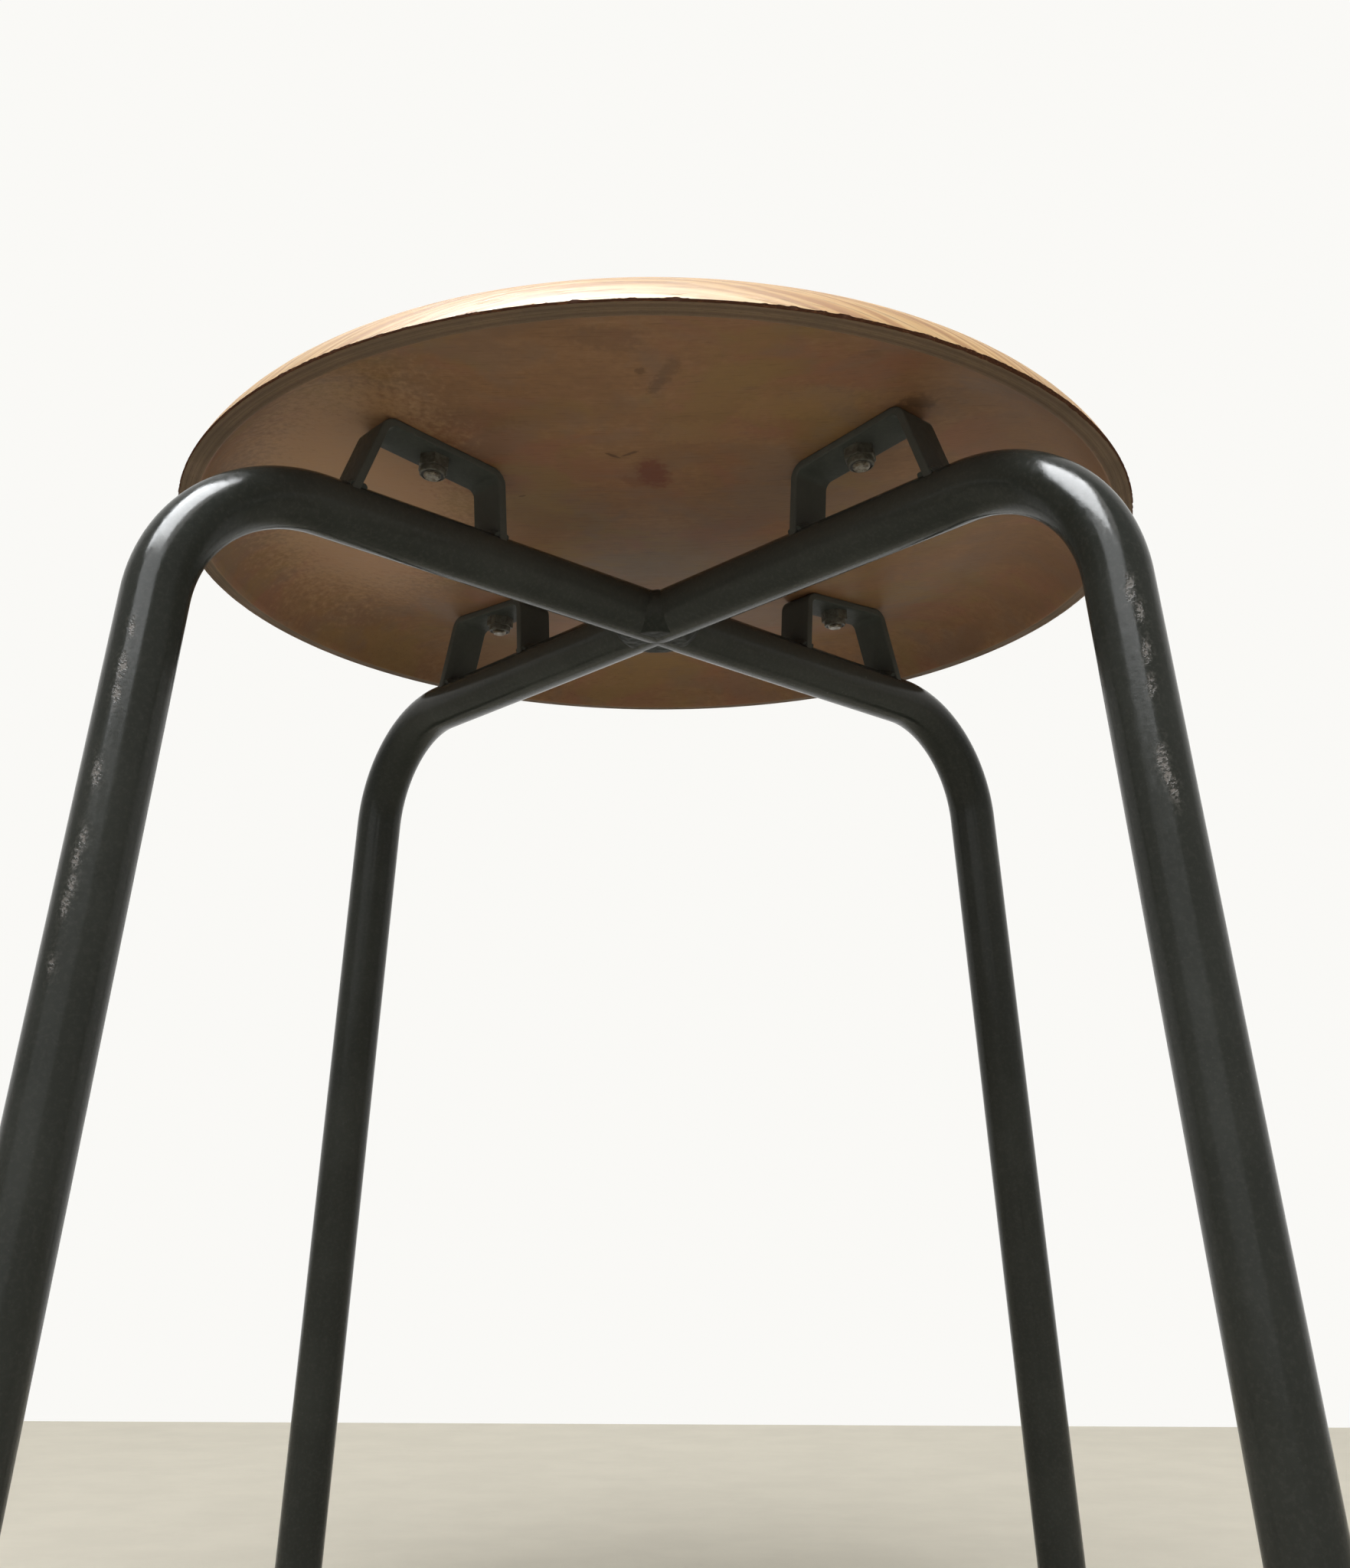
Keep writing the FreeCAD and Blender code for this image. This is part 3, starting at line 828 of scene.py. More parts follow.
@dataclass(frozen=True)
class CapRubber(Finish):
    """Matt black rubber, scuffed towards the floor."""

    name: ClassVar[str] = "cap_rubber_matt"
    rubber: Colour = (0.018, 0.018, 0.018)
    scuff: Colour = (0.085, 0.082, 0.076)

    def lay(self, graph: Graph) -> None:
        """Moulded rubber with scuffs that grow towards the floor."""
        low = graph.fit(graph.part(graph.place, "Z"), 0.0, 12 * MM, 1.0, 0.0)
        scuffs = graph.noise(graph.place, (260.0, 260.0, 90.0), 4.0, 0.65)
        share = graph.times(graph.fit(scuffs, 0.45, 0.68), graph.calc("MULTIPLY_ADD", low, 0.6, 0.15))
        graph.set(base_color=graph.mix(share, self.rubber, self.scuff),
                  roughness=graph.fit(scuffs, 0.3, 0.7, 0.6, 0.85), ior=1.45,
                  normal=graph.bump(graph.noise(graph.place, 2400.0), 0.03 * MM))


# Seat


@dataclass
class Seat:
    """The pressed plywood seat: face veneer, core plies and underside veneer."""

    dish_radius: float = 1.130
    roll_radius: float = 0.037
    half_width: float = 0.180
    crest_height: float = 0.450
    end_slope: float = math.radians(67)
    cut_tilt: float = math.radians(8)
    face: float = 1.2 * MM
    core: float = 4.1 * MM
    underside: float = 1.2 * MM
    tear_reach: float = 1.7 * MM
    worst_turn: float = math.radians(-47)
    worst_spread: float = math.radians(24)
    chip_limit: float = 1.3 * MM
    tear_limit: float = 1.15 * MM
    glue_relief: float = 0.07 * MM
    ease: float = 0.35 * MM
    ease_depth: float = 0.3 * MM
    hole_radius: float = 3.3 * MM
    drill_length: float = 30 * MM
    bolt_reach: float = 0.10429
    edge_steps: int = 12
    glue_every: int = 4
    face_steps: int = 1536
    core_steps: int = 768
    underside_steps: int = 384
    roll_reach: float = field(init=False)
    roll_height: float = field(init=False)
    dish_slope: float = field(init=False)
    dish_centre: float = field(init=False)

    def __post_init__(self) -> None:
        """Works out where the dish meets the roll."""
        self.roll_reach = self.half_width - self.roll_radius * math.sin(self.end_slope)
        self.roll_height = self.crest_height - self.roll_radius
        centres = self.dish_radius + self.roll_radius
        self.dish_slope = math.asin(self.roll_reach / centres)
        self.dish_centre = self.roll_height + centres * math.cos(self.dish_slope)

    @property
    def thickness(self) -> float:
        """All the plies together."""
        return self.face + self.core + self.underside

    @property
    def bolt_slope(self) -> float:
        """The slope of the underside at the bolts."""
        return math.asin(self.bolt_reach / (self.dish_radius + self.thickness))

    def dish_point(self, depth: float, slope: float) -> Point:
        """A point of the dish at a depth below the sitting face."""
        radius = self.dish_radius + depth
        return radius * math.sin(slope), self.dish_centre - radius * math.cos(slope)

    def roll_point(self, depth: float, slope: float) -> Point:
        """A point of the rolled rim at a depth below the sitting face."""
        radius = self.roll_radius - depth
        return self.roll_reach + radius * math.sin(slope), self.roll_height + radius * math.cos(slope)

    def rim_end(self, depth: float) -> float:
        """The slope at which the sawn edge ends the rim at a depth."""
        share = self.roll_radius / (self.roll_radius - depth)
        return math.acos(share * math.cos(self.end_slope + self.cut_tilt)) - self.cut_tilt

    def curve(self, depth: float, dish_steps: int, roll_steps: int, stop: float = 0.0) -> list[Point]:
        """The seat's curve at a depth from the middle to the rim.

        Args:
            depth: Below the sitting face.
            dish_steps: Steps of the dish.
            roll_steps: Steps of the roll.
            stop: How far along the curve before the sawn edge an extra point lies, if any.

        Returns:
            Points of reach and height.
        """
        end = self.rim_end(depth)
        points = [self.dish_point(depth, self.dish_slope * step / dish_steps) for step in range(dish_steps)]
        last = end - stop / self.roll_radius
        sweep = last + self.dish_slope
        points += [self.roll_point(depth, -self.dish_slope + sweep * step / roll_steps)
                   for step in range(roll_steps + 1)]
        if stop:
            points.append(self.roll_point(depth, end))
        return points

    def edge_point(self, depth: float) -> Point:
        """A point of the sawn edge at a depth."""
        return self.roll_point(depth, self.rim_end(depth))

    def flat_reach(self, reach: float, height: float) -> float:
        """How far from the middle a point of the face lay before the sheet was pressed."""
        slope = math.atan2(reach - self.roll_reach, height - self.roll_height)
        if slope < -self.dish_slope:
            return self.dish_radius * math.asin(min(1.0, reach / self.dish_radius))
        return self.dish_radius * self.dish_slope + self.roll_radius * (slope + self.dish_slope)

    def depth_of(self, reach: float, height: float) -> float:
        """How deep below the face a point near the rim lies."""
        return self.roll_radius - math.hypot(reach - self.roll_reach, height - self.roll_height)

    def drill(self, piece: Piece) -> None:
        """Bores the four bolt holes through a sheet."""
        middle = flat(*self.dish_point(self.thickness / 2, self.bolt_slope))
        for arm in Arm:
            drill = rod("drill", self.hole_radius, self.drill_length, middle, (0.0, -self.bolt_slope, 0.0))
            carve(piece, moved(drill, (0, 0, arm.turn)))

    def wear(self, place: Vector) -> float:
        """How badly the veneer's edge is torn at a place: most at the front right, little at the front."""
        turn = math.atan2(place.y, place.x)
        worst = math.exp(-((turn - self.worst_turn) / self.worst_spread) ** 2)
        slow = noise.noise(place * 28.0) * 0.5 + 0.5
        return min(1.0, 0.16 + 0.28 * slow + 0.75 * worst * (0.6 + 0.6 * slow))

    def tear(self, piece: Piece) -> None:
        """Chips the face veneer's lower edge, tooth by tooth, and marks the torn faces."""
        outer, inner = flat(*self.edge_point(0.0)), flat(*self.edge_point(self.face / 2))
        mesh = piece.data
        outer_ring, inner_ring = set(), set()
        for vertex in mesh.vertices:
            level = flat(math.hypot(vertex.co.x, vertex.co.y), vertex.co.z)
            if (level - outer).length < RING_RANGE:
                outer_ring.add(vertex.index)
            elif (level - inner).length < RING_RANGE:
                inner_ring.add(vertex.index)
        torn_ring = outer_ring | inner_ring
        for polygon in mesh.polygons:
            if all(index in torn_ring for index in polygon.vertices):
                polygon.material_index = TORN
            elif self.on_sawn_edge(polygon.center):
                polygon.material_index = SAWN
        for index in torn_ring:
            place = mesh.vertices[index].co
            wear = self.wear(place)
            if index in outer_ring:
                tooth = max(0.0, noise.noise(place * 420.0) * 1.3 + noise.noise(place * 1150.0) * 0.8)
                chip = min((0.38 + 0.6 * wear + 1.9 * wear * tooth) * MM, self.chip_limit)
                reach, height = self.roll_point(0.0, self.rim_end(0.0) - chip / self.roll_radius)
            else:
                depth = (0.46 + 0.85 * wear * (0.8 + 0.5 * noise.noise(place * 300.0))) * MM
                reach, height = self.edge_point(min(depth, self.tear_limit))
            share = reach / math.hypot(place.x, place.y)
            mesh.vertices[index].co = (place.x * share, place.y * share, height)

    def on_sawn_edge(self, place: Vector) -> bool:
        """Whether a place lies on the sawn edge and not on the sheet's own faces."""
        reach = math.hypot(place.x, place.y)
        depth = self.depth_of(reach, place.z)
        on_edge = flat(*self.edge_point(min(max(depth, 0.0), self.thickness)))
        inside = RING_RANGE < depth < self.thickness - RING_RANGE
        return inside and (flat(reach, place.z) - on_edge).length < 3 * RING_RANGE

    def map_sheet(self, piece: Piece, edge_only: bool) -> None:
        """Adds the map that the grain follows.

        Args:
            piece: A sheet of the seat.
            edge_only: False maps the pressed sheet back to the flat one; True maps the sawn edge by its run
                round the rim and its depth.
        """
        mesh = piece.data
        while mesh.uv_layers:       # the primitive's own map would be shown instead
            mesh.uv_layers.remove(mesh.uv_layers[0])
        layer = mesh.uv_layers.new(name="sheet")
        for polygon in mesh.polygons:
            turns = []
            for loop in polygon.loop_indices:
                x, y, z = mesh.vertices[mesh.loops[loop].vertex_index].co
                reach, turn = math.hypot(x, y), math.atan2(y, x)
                if not edge_only and polygon.material_index != SAWN:
                    far = self.flat_reach(reach, z)
                    layer.data[loop].uv = (far * math.cos(turn), far * math.sin(turn))
                    continue
                if turns and turns[0] - turn > math.pi:
                    turn += math.tau
                elif turns and turn - turns[0] > math.pi:
                    turn -= math.tau
                turns.append(turn)
                layer.data[loop].uv = (turn * self.half_width, self.depth_of(reach, z))

    def finished(self, piece: Piece, edge_only: bool, slot: Slot, node: str, *finishes: Finish) -> Piece:
        """Drills, maps, smooths and dresses a sheet; the arguments are those of map_sheet and dress."""
        self.drill(piece)
        self.map_sheet(piece, edge_only)
        smooth(piece, TUBE_AND_SHEET_ANGLE)
        return dress(piece, slot, node, *finishes)

    def make_face(self) -> Piece:
        """The face veneer, with its eased and chipped lower edge."""
        edge = [self.edge_point(self.face * share) for share in (0.5, 1.0)]
        back = self.curve(self.face, 4, 8)[-2::-1]
        piece = lathe("face_sheet", self.curve(0.0, 8, 16, self.tear_reach) + edge + back, self.face_steps)
        self.tear(piece)
        return self.finished(piece, False, Slot.FACE, "seat_top_veneer", FaceVeneer(), TornVeneer(), SawnPlies())

    def make_core(self) -> Piece:
        """The middle plies, whose sawn edge shows all round the rim."""
        start, end = self.face, self.face + self.core
        edge = []
        for step in range(1, self.edge_steps):
            reach, height = self.edge_point(start + self.core * step / self.edge_steps)
            edge.append((reach, height + (self.glue_relief if step % self.glue_every == 0 else 0.0)))
        profile = self.curve(start, 4, 10) + edge + self.curve(end, 4, 10)[::-1]
        return self.finished(lathe("core_sheet", profile, self.core_steps), True, Slot.CORE, "seat_core", SawnPlies())

    def make_underside(self) -> Piece:
        """The underside veneer, its edge a little rounded by handling."""
        end = self.thickness
        bottom = self.curve(end, 10, 14, self.ease)
        bottom[-1] = self.edge_point(end - self.ease_depth)
        piece = lathe("underside_sheet", self.curve(self.face + self.core, 4, 10) + bottom[::-1], self.underside_steps)
        for polygon in piece.data.polygons:
            polygon.material_index = int(self.on_sawn_edge(polygon.center))
        return self.finished(piece, True, Slot.UNDERSIDE, "seat_underside_veneer", UndersideVeneer(), SawnPlies())

    def build(self) -> list[Piece]:
        """Makes and dresses the three sheets."""
        return [self.make_face(), self.make_core(), self.make_underside()]


# Frame of bent tube


@dataclass
class TubeFrame:
    """The through tube, the two half tubes coped to it, and the weld in the crossing."""

    radius: float = 10 * MM
    wall: float = 1.5 * MM
    bend_radius: float = 52 * MM
    corner_reach: float = 193.5 * MM
    axis_height: float = 404.74 * MM
    splay: float = math.radians(5.9)
    end_above_floor: float = 6 * MM
    weld_reach: float = 17.14 * MM
    weld_crown: float = 11.5 * MM
    weld_sink: float = 1.2 * MM
    weld_top: float = 8.8 * MM
    weld_bottom: float = 9.6 * MM
    weld_grid: float = 0.45 * MM
    weld_ripple: float = 2.5 * MM
    weld_ripple_depth: float = 0.5 * MM
    weld_smoothing: float = 80
    weld_subdivisions: int = 6
    slab_radius: float = 50 * MM
    cope_length: float = 120 * MM
    half_end: float = 0.2 * MM
    ring_points: int = 72
    bend_steps: int = 32

    @property
    def crown(self) -> float:
        """The height of the arms' upper side."""
        return self.axis_height + self.radius

    def down(self, side: float = 1.0) -> Vector:
        """The direction of a leg towards the floor."""
        return Vector((side * math.sin(self.splay), 0.0, -math.cos(self.splay)))

    def corner(self, side: float) -> Vector:
        """Where the axes of an arm and its leg would cross."""
        return flat(side * self.corner_reach, self.axis_height)

    def tube_end(self, side: float = 1.0) -> Vector:
        """Where a leg's tube ends, on its axis."""
        return self.corner(side) + self.down(side) * (self.axis_height / math.cos(self.splay) - self.end_above_floor)

    def floor_point(self) -> Vector:
        """Where the axis of the +X leg meets the floor."""
        return self.tube_end() + self.down() * self.end_above_floor

    def tube(self, name: str, path: Sequence[Vector]) -> Piece:
        """A bent tube along a path that starts up a leg."""
        piece = primitive(name, bpy.ops.mesh.primitive_circle_add, vertices=self.ring_points, radius=self.radius,
                          fill_type="NOTHING", location=path[0], rotation=lean((path[1] - path[0]).normalized()))
        with edit_mode(piece):
            draw_along(path, self.bend_radius, self.bend_steps)
            close_up(fill=False)
        self.face_out(piece)
        apply(piece, "SOLIDIFY", thickness=self.wall, offset=-1.0, use_even_offset=True)
        return piece

    @staticmethod
    def face_out(piece: Piece) -> None:
        """Turns an open tube's faces outwards if the first of them looks inwards at a foot."""
        lowest = min(piece.data.polygons, key=lambda polygon: polygon.center.z)
        rise, reach = 20 * MM, 30 * MM      # what counts as the ring of faces round the same foot
        ring = [polygon.center for polygon in piece.data.polygons
                if abs(polygon.center.z - lowest.center.z) < rise and (polygon.center - lowest.center).length < reach]
        middle = sum(ring, Vector()) / len(ring)
        if (lowest.center - middle).dot(lowest.normal) < 0:
            with edit_mode(piece):
                bpy.ops.mesh.flip_normals()

    def make_through(self) -> Piece:
        """The tube that runs from foot to foot."""
        path = [self.tube_end(1), self.corner(1), self.corner(-1), self.tube_end(-1)]
        piece = moved(self.tube("tube_through", path), (0, 0, Arm.BACK_RIGHT.turn))
        smooth(piece, TUBE_AND_SHEET_ANGLE)
        return dress(piece, Slot.PAINT, "through_tube", BlackPaint())

    def make_halves(self) -> list[Piece]:
        """The two tubes that are coped to the sides of the through tube."""
        half = self.tube("half_straight", [self.tube_end(1), self.corner(1), flat(self.half_end, self.axis_height)])
        carve(half, rod("cope", self.radius, self.cope_length, flat(0, self.axis_height), (math.pi / 2, 0, 0)))
        master = Master(half, TUBE_AND_SHEET_ANGLE, "tube_half_", "half_tube_", (BlackPaint(),))
        return set_round(Slot.PAINT, master, arms=(Arm.FRONT_RIGHT, Arm.BACK_LEFT))

    def make_weld(self) -> Piece:
        """The rippled weld that fills the corners of the crossing, level above and below."""
        piece = primitive("crossing_bead", bpy.ops.mesh.primitive_ico_sphere_add,
                          (1, 1, self.weld_crown / self.weld_reach), subdivisions=self.weld_subdivisions,
                          radius=self.weld_reach, location=flat(0, self.axis_height - self.weld_sink))
        middle = flat(0, self.axis_height + (self.weld_top - self.weld_bottom) / 2)
        carve(piece, rod("slab", self.slab_radius, self.weld_top + self.weld_bottom, middle), "INTERSECT")
        apply(piece, "REMESH", mode="VOXEL", voxel_size=self.weld_grid)
        roughen(piece, self.weld_ripple, self.weld_ripple_depth)
        smooth(piece, self.weld_smoothing)
        return dress(piece, Slot.PAINT, "crossing_weld", DullPaint())

    def build(self) -> list[Piece]:
        """Makes and dresses the tubes and their weld."""
        return [self.make_through(), *self.make_halves(), self.make_weld()]


# Brackets


@dataclass
class Bracket:
    """A bent flat bar that stands on an arm and carries the seat, with its welds."""

    seat: Seat
    tubes: TubeFrame
    flat_length: float = 49.5 * MM
    outer_spread: float = 9.9 * MM
    inner_spread: float = 1.5 * MM
    width: float = 16 * MM
    thickness: float = 3 * MM
    bend_radius: float = 6 * MM
    bend_steps: int = 10
    arris: float = 0.6 * MM
    arris_steps: int = 3
    cope_length: float = 0.4
    cope_middle: float = 0.1
    hole_radius: float = 3.3 * MM
    drill_length: float = 20 * MM
    bead: float = 1.3 * MM
    bead_stand: float = 0.2 * MM
    bead_ripple: float = 1.2 * MM
    bead_ripple_depth: float = 0.45 * MM
    bead_overrun: float = 0.05
    bead_points: int = 14
    bead_steps: int = 44

    @property
    def seat_point(self) -> Vector:
        """The point of the underside on the bolt's axis."""
        return flat(*self.seat.dish_point(self.seat.thickness, self.seat.bolt_slope))

    def corners(self) -> tuple[Vector, Vector, Vector, Vector]:
        """The corners of the bar's outer side, from the outer foot to the inner one, at the arm's crown."""
        along = flat(math.cos(self.seat.bolt_slope), math.sin(self.seat.bolt_slope))
        crown = self.tubes.crown
        outer_top = self.seat_point + along * (self.flat_length / 2)
        inner_top = self.seat_point - along * (self.flat_length / 2)
        return (flat(outer_top.x + self.outer_spread, crown), outer_top, inner_top,
                flat(inner_top.x - self.inner_spread, crown))

    def make_bar(self) -> Piece:
        """The bent bar with rounded arrises, coped feet and its bolt hole."""
        outer_foot, outer_top, inner_top, inner_foot = self.corners()
        rise = self.tubes.radius
        first = outer_foot + (outer_foot - outer_top) * (rise / (outer_top.z - outer_foot.z))
        last = inner_foot + (inner_foot - inner_top) * (rise / (inner_top.z - inner_foot.z))
        run = (outer_top - first).normalized()
        piece = primitive("bracket_straight", bpy.ops.mesh.primitive_plane_add, (self.thickness, self.width, 1.0),
                          size=1.0, location=first + across(run) * (self.thickness / 2), rotation=lean(run))
        with edit_mode(piece):
            bpy.ops.mesh.bevel(offset=self.arris, segments=self.arris_steps, affect="VERTICES")
            take_all()
            bpy.ops.mesh.delete(type="ONLY_FACE")
            take_all()
            draw_along([first, outer_top, inner_top, last], self.bend_radius, self.bend_steps)
            close_up()
        middle = flat(self.cope_middle, self.tubes.axis_height)
        carve(piece, rod("cope", self.tubes.radius, self.cope_length, middle, (0, math.pi / 2, 0)))
        turn = (0, -self.seat.bolt_slope, 0)
        carve(piece, rod("drill", self.hole_radius, self.drill_length, self.seat_point, turn))
        return piece

    def make_bead(self, middle: Vector) -> Piece:
        """The rippled weld at one side of a foot, laid round the arm through a middle above it."""
        spread = math.atan2(self.width / 2, self.tubes.radius) + self.bead_overrun
        axis = (0, 0, self.tubes.axis_height)
        bead = primitive("bead", bpy.ops.mesh.primitive_circle_add, vertices=self.bead_points,
                         radius=self.bead, fill_type="NOTHING", location=middle, rotation=(math.pi / 2, 0, 0))
        with edit_mode(bead):
            bpy.ops.transform.rotate(value=-spread, orient_axis="X", center_override=axis)
            bpy.ops.mesh.spin(steps=self.bead_steps, angle=2 * spread, center=axis, axis=(1, 0, 0))
            close_up()
        roughen(bead, self.bead_ripple, self.bead_ripple_depth)
        return bead

    def make_beads(self) -> Piece:
        """The welds on both sides of both feet, joined."""
        outer_foot, outer_top, inner_top, inner_foot = self.corners()
        outer_width = self.thickness * (outer_top - outer_foot).length / (outer_top.z - outer_foot.z)
        inner_width = self.thickness * (inner_top - inner_foot).length / (inner_top.z - inner_foot.z)
        places = ((outer_foot.x, 1), (outer_foot.x - outer_width, -1),
                  (inner_foot.x + inner_width, 1), (inner_foot.x, -1))
        height = self.tubes.crown + self.bead_stand
        beads = [self.make_bead(flat(reach + side * self.bead_stand, height)) for reach, side in places]
        select_only(beads[0])
        for bead in beads[1:]:
            bead.select_set(True)
        bpy.ops.object.join()
        return beads[0]

    def build(self) -> list[Piece]:
        """Makes the bar and its welds once and sets a copy on each arm."""
        return set_round(Slot.PAINT, Master(self.make_bar(), 35, "bar_", "bracket_", (FillLitPaint(),)),
                         Master(self.make_beads(), 60, "beads_", "bracket_weld_", (FillLitPaint(),)))


# Fasteners


@dataclass
class Fasteners:
    """The domed seat bolts and their lock nuts, made upright and set square to the seat."""

    bracket: Bracket
    shank_radius: float = 3.0 * MM
    head_radius: float = 8.0 * MM
    head_height: float = 3.3 * MM
    neck: float = 6.0 * MM
    neck_depth: float = 3.5 * MM
    stick_out: float = 1.0 * MM
    pitch: float = 1.0 * MM
    thread_depth: float = 0.45 * MM
    thread_turns: int = 7
    thread_shape: tuple[Point, ...] = ((0.0, 0.95), (0.0, 0.75), (1.0, 0.45), (0.0, 0.1))   # depth, share of a turn
    tip: float = 0.5 * MM
    tip_ease: tuple[float, float] = (0.1 * MM, 0.6 * MM)
    across_flats: float = 10.0 * MM
    hex_height: float = 4.0 * MM
    collar_radius: float = 4.6 * MM
    collar_height: float = 2.3 * MM
    ring_radius: float = 3.85 * MM
    chamfer: float = 0.5 * MM
    chamfer_rise: float = 1.0 * MM
    lip: float = 0.35 * MM
    low_lip: float = 0.1 * MM
    neck_overlap: float = 0.1 * MM
    dome_steps: int = 10
    bolt_steps: int = 64
    bore_length: float = 30 * MM
    corner_ease: float = 0.15 * MM
    ring_depth: float = 0.25 * MM
    overlap: float = 0.5 * MM
    bore_play: float = 0.02 * MM

    @property
    def head_base(self) -> float:
        """The height above the underside at which the head's rim meets the dish."""
        dish = self.bracket.seat.dish_radius
        return self.bracket.seat.thickness + dish - math.sqrt(dish ** 2 - self.head_radius ** 2)

    @property
    def nut_top(self) -> float:
        """The height of the nut's upper face, under the bracket's bar."""
        return -self.bracket.thickness

    def set_at_bolt(self, piece: Piece) -> Piece:
        """Leans an upright fastener and moves it to the +X arm's bolt."""
        return moved(piece, (0.0, -self.bracket.seat.bolt_slope, 0.0), self.bracket.seat_point)

    def thread(self, start: float) -> list[Point]:
        """The outline of the grooves down to a height: a crest, a slope in, a root and a slope out in each."""
        return [(self.shank_radius - depth * self.thread_depth, start + (turn + share) * self.pitch)
                for turn in reversed(range(self.thread_turns)) for depth, share in self.thread_shape]

    def make_bolt(self) -> Piece:
        """A domed head, a square neck and a shank whose end is threaded."""
        dome = (self.head_radius ** 2 + self.head_height ** 2) / (2 * self.head_height)
        base, rim = self.head_base, self.head_radius - self.lip
        slopes = [math.asin(rim / dome) * step / self.dome_steps for step in range(self.dome_steps + 1)]
        head = [(dome * math.sin(slope), base + self.head_height - dome * (1 - math.cos(slope))) for slope in slopes]
        head += [(self.head_radius, base + 0.5 * self.lip), (self.head_radius, base + self.low_lip), (rim, base)]
        end = self.nut_top - self.hex_height - self.collar_height - self.stick_out
        start = end + self.tip
        tip = [(self.shank_radius - ease, height) for ease, height in zip(self.tip_ease, (start, end))] + [(0.0, end)]
        piece = lathe("bolt", head + [(self.shank_radius, base)] + self.thread(start) + tip, self.bolt_steps)
        sides = self.neck, self.neck, self.neck_depth + self.neck_overlap
        neck = primitive("neck", bpy.ops.mesh.primitive_cube_add, sides, size=1.0,
                         location=(0, 0, base - self.neck_depth / 2 + self.neck_overlap / 2))
        carve(piece, neck, "UNION")
        return self.set_at_bolt(piece)

    def make_nut(self) -> Piece:
        """A chamfered hexagon with a round collar below it and a locking ring inside."""
        corner = self.across_flats / math.sqrt(3)
        top, bottom = self.nut_top, self.nut_top - self.hex_height
        middle = (top + bottom) / 2
        piece = primitive("nut", bpy.ops.mesh.primitive_cylinder_add, vertices=6, radius=corner,
                          depth=self.hex_height, location=(0, 0, middle), rotation=(0, 0, math.pi / 2))
        with edit_mode(piece):
            pick_edges(piece, middle)
            bpy.ops.mesh.bevel(offset=self.corner_ease, segments=2, affect="EDGES")
        cone = [(0, top + MM), (corner + MM, top + MM), (corner + MM, bottom + self.chamfer_rise),
                (corner - self.chamfer, bottom), (0, bottom)]
        carve(piece, lathe("chamfer", cone, ROUND_STEPS), "INTERSECT")
        radius, lip, end = self.collar_radius, self.chamfer, bottom - self.collar_height
        ring = end + self.ring_depth
        collar = [(0.0, bottom + self.overlap), (radius, bottom + self.overlap), (radius, end + lip)]
        collar += [(radius - lip * (1 - math.cos(turn)), end + lip * (1 - math.sin(turn)))
                   for turn in map(math.radians, (30, 60, 90))]
        collar += [(self.ring_radius, end), (self.ring_radius, ring), (0.0, ring)]
        carve(piece, lathe("collar", collar, ROUND_STEPS), "UNION")
        carve(piece, rod("bore", self.shank_radius + self.bore_play, self.bore_length, flat(0, bottom)))
        for polygon in piece.data.polygons:
            polygon.material_index = int(abs(polygon.center.z - ring) < RING_RANGE)
        return self.set_at_bolt(piece)

    def build(self) -> list[Piece]:
        """Makes one bolt and one nut and sets a copy of each at every arm."""
        return set_round(Slot.STEEL, Master(self.make_bolt(), 35, "bolt_", "seat_bolt_", (PlatedSteel(),)),
                         Master(self.make_nut(), 30, "nut_", "seat_nut_", (DarkerNutSteel(), InsertRing())))


# Foot caps


@dataclass
class FootCap:
    """A flared rubber cap on the end of each leg, cut level where it meets the floor."""

    tubes: TubeFrame
    wall: float = 2 * MM
    flare: float = 0.6 * MM
    height: float = 26 * MM
    ribs: int = 3
    rib_pitch: float = 3.2 * MM
    rib_depth: float = 0.35 * MM
    first_rib: float = 6.5 * MM
    rib_shape: tuple[Point, ...] = ((0.0, 0.0), (1.0, 0.5), (1.0, 1.1), (0.0, 1.6))     # depth, and height in mm
    band: float = 5.5 * MM
    lip: float = 0.9 * MM
    bore_lip: Point = (0.3 * MM, 0.4 * MM)

    def profile(self) -> list[Point]:
        """The cap's outline from its sole up the outside, over the lip and down the bore."""
        bore, top, inside = self.tubes.radius, self.height, self.tubes.end_above_floor
        mouth = bore + self.wall

        def out(height: float) -> float:
            """The outside's radius at a height."""
            return mouth + self.flare / top * (top - height)

        points = [(0.0, -mouth), (out(-mouth), -mouth), (out(self.band), self.band)]
        for rib in range(self.ribs):
            low = self.first_rib + rib * self.rib_pitch
            points += [(out(low) - depth * self.rib_depth, low + rise * MM) for depth, rise in self.rib_shape]
        points += [(mouth - self.lip * (1 - math.cos(turn)), top - self.lip * (1 - math.sin(turn)))
                   for turn in map(math.radians, range(0, 91, 15))]
        wide, deep = self.bore_lip
        return points + [(bore + wide, top), (bore, top - deep), (bore, inside), (0.0, inside)]

    def build(self) -> list[Piece]:
        """Makes the cap once, cuts its sole level and sets a copy on each leg."""
        cap = moved(lathe("cap", self.profile(), ROUND_STEPS), lean(-self.tubes.down()), self.tubes.floor_point())
        with edit_mode(cap):
            bpy.ops.mesh.bisect(plane_co=(0, 0, 0), plane_no=(0, 0, -1), use_fill=True, clear_outer=True)
            close_up()
        return set_round(Slot.RUBBER, Master(cap, 35, "cap_", "foot_cap_", (CapRubber(),)))


# Room, lights and camera


@dataclass(frozen=True)
class Lamp:
    """A soft lamp: where it stands in degrees, its size, power and tint, and whether it lights more than gloss."""

    name: str
    azimuth: float
    elevation: float
    size: tuple[float, float]
    power: float
    tint: Colour
    lights_all: bool = False


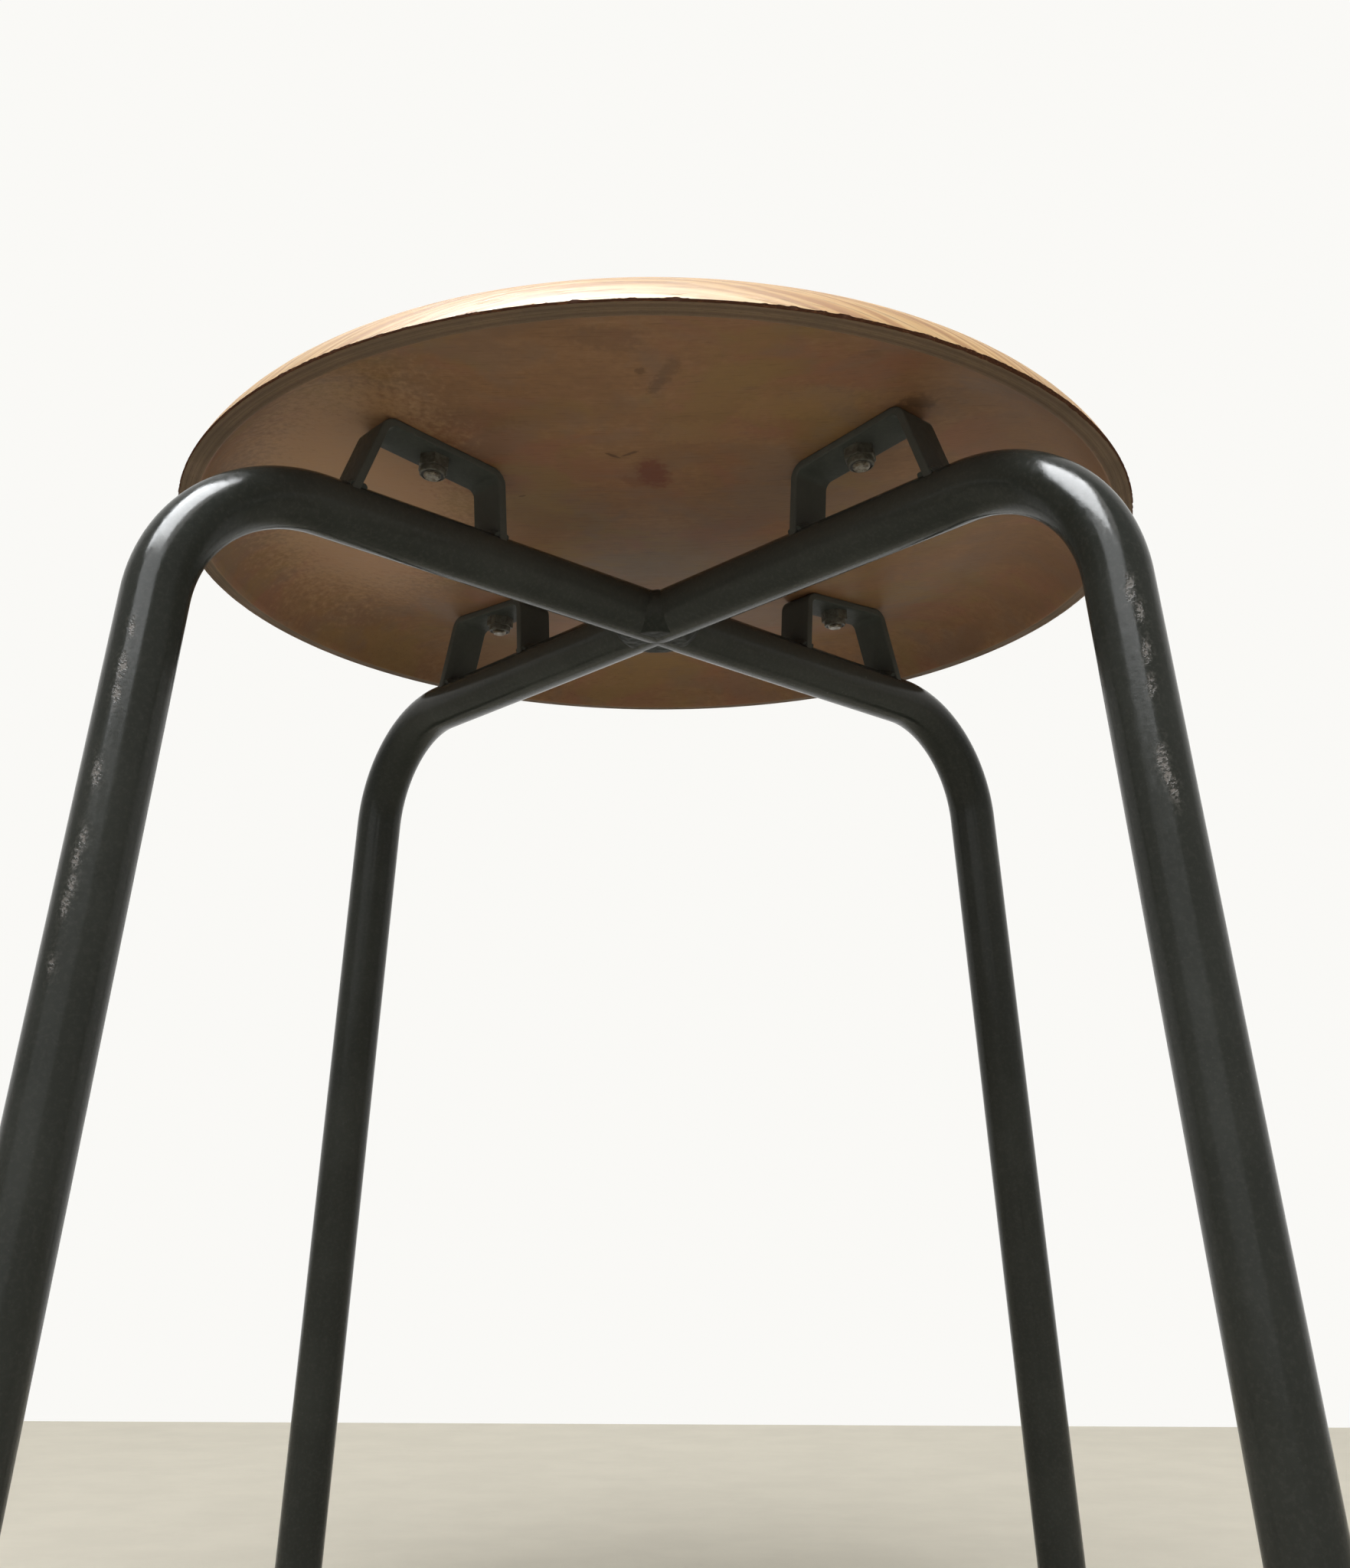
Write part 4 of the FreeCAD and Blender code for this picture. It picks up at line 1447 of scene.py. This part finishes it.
COOL: Colour = (0.95, 0.975, 1.0)
STUDIO_LAMPS = (
    Lamp("key", -4, 58, (1.5, 1.3), 30.0, (1.0, 0.985, 0.955), True),
    Lamp("sheen", -26, 61, (1.5, 1.3), 240.0, COOL),
    Lamp("low_sheen", -14, 31, (1.7, 0.7), 29.0, COOL),
    Lamp("room", -16, 10, (2.4, 1.2), 9.0, COOL),
)


def direction(turn: float, rise: float) -> Vector:
    """The direction at a turn from +Y towards +X and a rise above the level, both in radians."""
    return Vector((math.sin(turn) * math.cos(rise), math.cos(turn) * math.cos(rise), math.sin(rise)))


def put_up(data: bpy.types.ID, place: Sequence[float], turn: Sequence[float]) -> Piece:
    """Puts a lamp or the camera in the scene."""
    stand = bpy.data.objects.new(data.name, data)
    bpy.context.collection.objects.link(stand)
    stand.location, stand.rotation_euler = place, turn
    return stand


@dataclass
class Studio:
    """A pale floor and wall, soft lights, and the camera low in front of the stool."""

    wall_distance: float = 0.835
    wall_colour: Colour = (0.955, 0.948, 0.922)
    floor_colour: Colour = (0.700, 0.668, 0.588)
    world_light: float = 0.55
    lamps: tuple[Lamp, ...] = STUDIO_LAMPS
    lamp_distance: float = 2.0
    lamp_aim: float = 0.42
    room_size: float = 12.0
    camera_place: tuple[float, float, float] = (0.0301, -0.540, 0.18756)
    yaw: float = math.radians(-2.46)
    pitch: float = math.radians(15.55)
    roll: float = math.radians(-0.08)
    lens: float = 34.12

    def floor_material(self) -> bpy.types.Material:
        """Pale screed, finely mottled."""
        graph = Graph("floor_screed")
        shade = graph.fit(graph.noise(graph.place, (16.0, 22.0, 1.0), 6.0, 0.65), 0.3, 0.7, 0.97, 1.03)
        shade = graph.ramp(graph.times(shade, 0.5), (0.0, (0, 0, 0)), (1.0, (2, 2, 2)))
        graph.set(base_color=graph.mix(1.0, self.floor_colour, shade, "MULTIPLY"), roughness=0.9,
                  specular_ior_level=0.05)
        return graph.material

    def wall_material(self) -> bpy.types.Material:
        """A wall that the camera and reflections see as evenly pale, and that is open from behind."""
        graph = Graph("wall_pale")
        graph.set(base_color=(0.8, 0.8, 0.78), roughness=0.9)
        rays = graph.nodes.new("ShaderNodeLightPath").outputs
        seen = graph.calc("MAXIMUM", rays["Is Camera Ray"], rays["Is Glossy Ray"])
        seen = graph.calc("MAXIMUM", seen, rays["Is Transmission Ray"])
        glow = graph.node("Emission", {"Color": self.wall_colour}, "Emission")
        shown = graph.node("MixShader", {0: seen, 1: graph.shader.outputs[0], 2: glow}, 0)
        behind, clear = graph.node("NewGeometry", {}, "Backfacing"), graph.node("BsdfTransparent", {}, 0)
        graph.feed(graph.output.inputs["Surface"], graph.node("MixShader", {0: behind, 1: shown, 2: clear}, 0))
        return graph.material

    def build_room(self) -> None:
        """The floor and the wall behind the stool."""
        half = self.room_size / 2
        add = bpy.ops.mesh.primitive_plane_add
        floor = primitive("floor", add, size=self.room_size, location=(0, self.wall_distance - half, 0))
        floor.data.materials.append(self.floor_material())
        wall = primitive("wall", add, size=self.room_size, location=(0, self.wall_distance, half),
                         rotation=(math.pi / 2, 0, 0))
        wall.data.materials.append(self.wall_material())

    def build_lights(self) -> None:
        """The lamps and an even sky."""
        world = bpy.data.worlds.new("even_sky")
        bpy.context.scene.world = world
        world.use_nodes = True
        background = world.node_tree.nodes["Background"].inputs
        background["Color"].default_value = (1.0, 0.99, 0.96, 1.0)
        background["Strength"].default_value = self.world_light
        for lamp in self.lamps:
            towards = direction(math.pi - math.radians(lamp.azimuth), math.radians(lamp.elevation))
            light = bpy.data.lights.new(lamp.name, "AREA")
            light.shape = "RECTANGLE"
            light.size, light.size_y = lamp.size
            light.energy = lamp.power
            light.color = lamp.tint
            aim = Vector((0, 0, self.lamp_aim))
            stand = put_up(light, aim + towards * self.lamp_distance, towards.to_track_quat("Z", "Y").to_euler())
            stand.visible_diffuse = lamp.lights_all

    def build_camera(self) -> None:
        """The camera, low in front and looking up at the seat."""
        forward = direction(self.yaw, self.pitch)
        level = Vector((math.cos(self.yaw), -math.sin(self.yaw), 0.0))
        right = level * math.cos(self.roll) + level.cross(forward) * math.sin(self.roll)
        data = bpy.data.cameras.new("camera")
        data.lens = self.lens
        data.sensor_width = 36.0
        data.clip_start, data.clip_end = 0.01, 50.0
        turn = Matrix((right, right.cross(forward), -forward)).transposed().to_euler()
        bpy.context.scene.camera = put_up(data, self.camera_place, turn)

    def build(self) -> None:
        """Sets up the room, the lights, the camera and the plain view transform."""
        self.build_room()
        self.build_lights()
        self.build_camera()
        bpy.context.scene.view_settings.view_transform = "Standard"


def main() -> None:
    """Sets up the studio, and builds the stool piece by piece."""
    logging.basicConfig(level=logging.INFO, format="%(name)s: %(message)s")
    Studio().build()
    seat, tubes = Seat(), TubeFrame()
    bracket = Bracket(seat, tubes)
    for maker in (seat, tubes, bracket, Fasteners(bracket), FootCap(tubes)):
        pieces = maker.build()
        log.info("%s: %d pieces", type(maker).__name__, len(pieces))


if __name__ == "__main__":
    main()
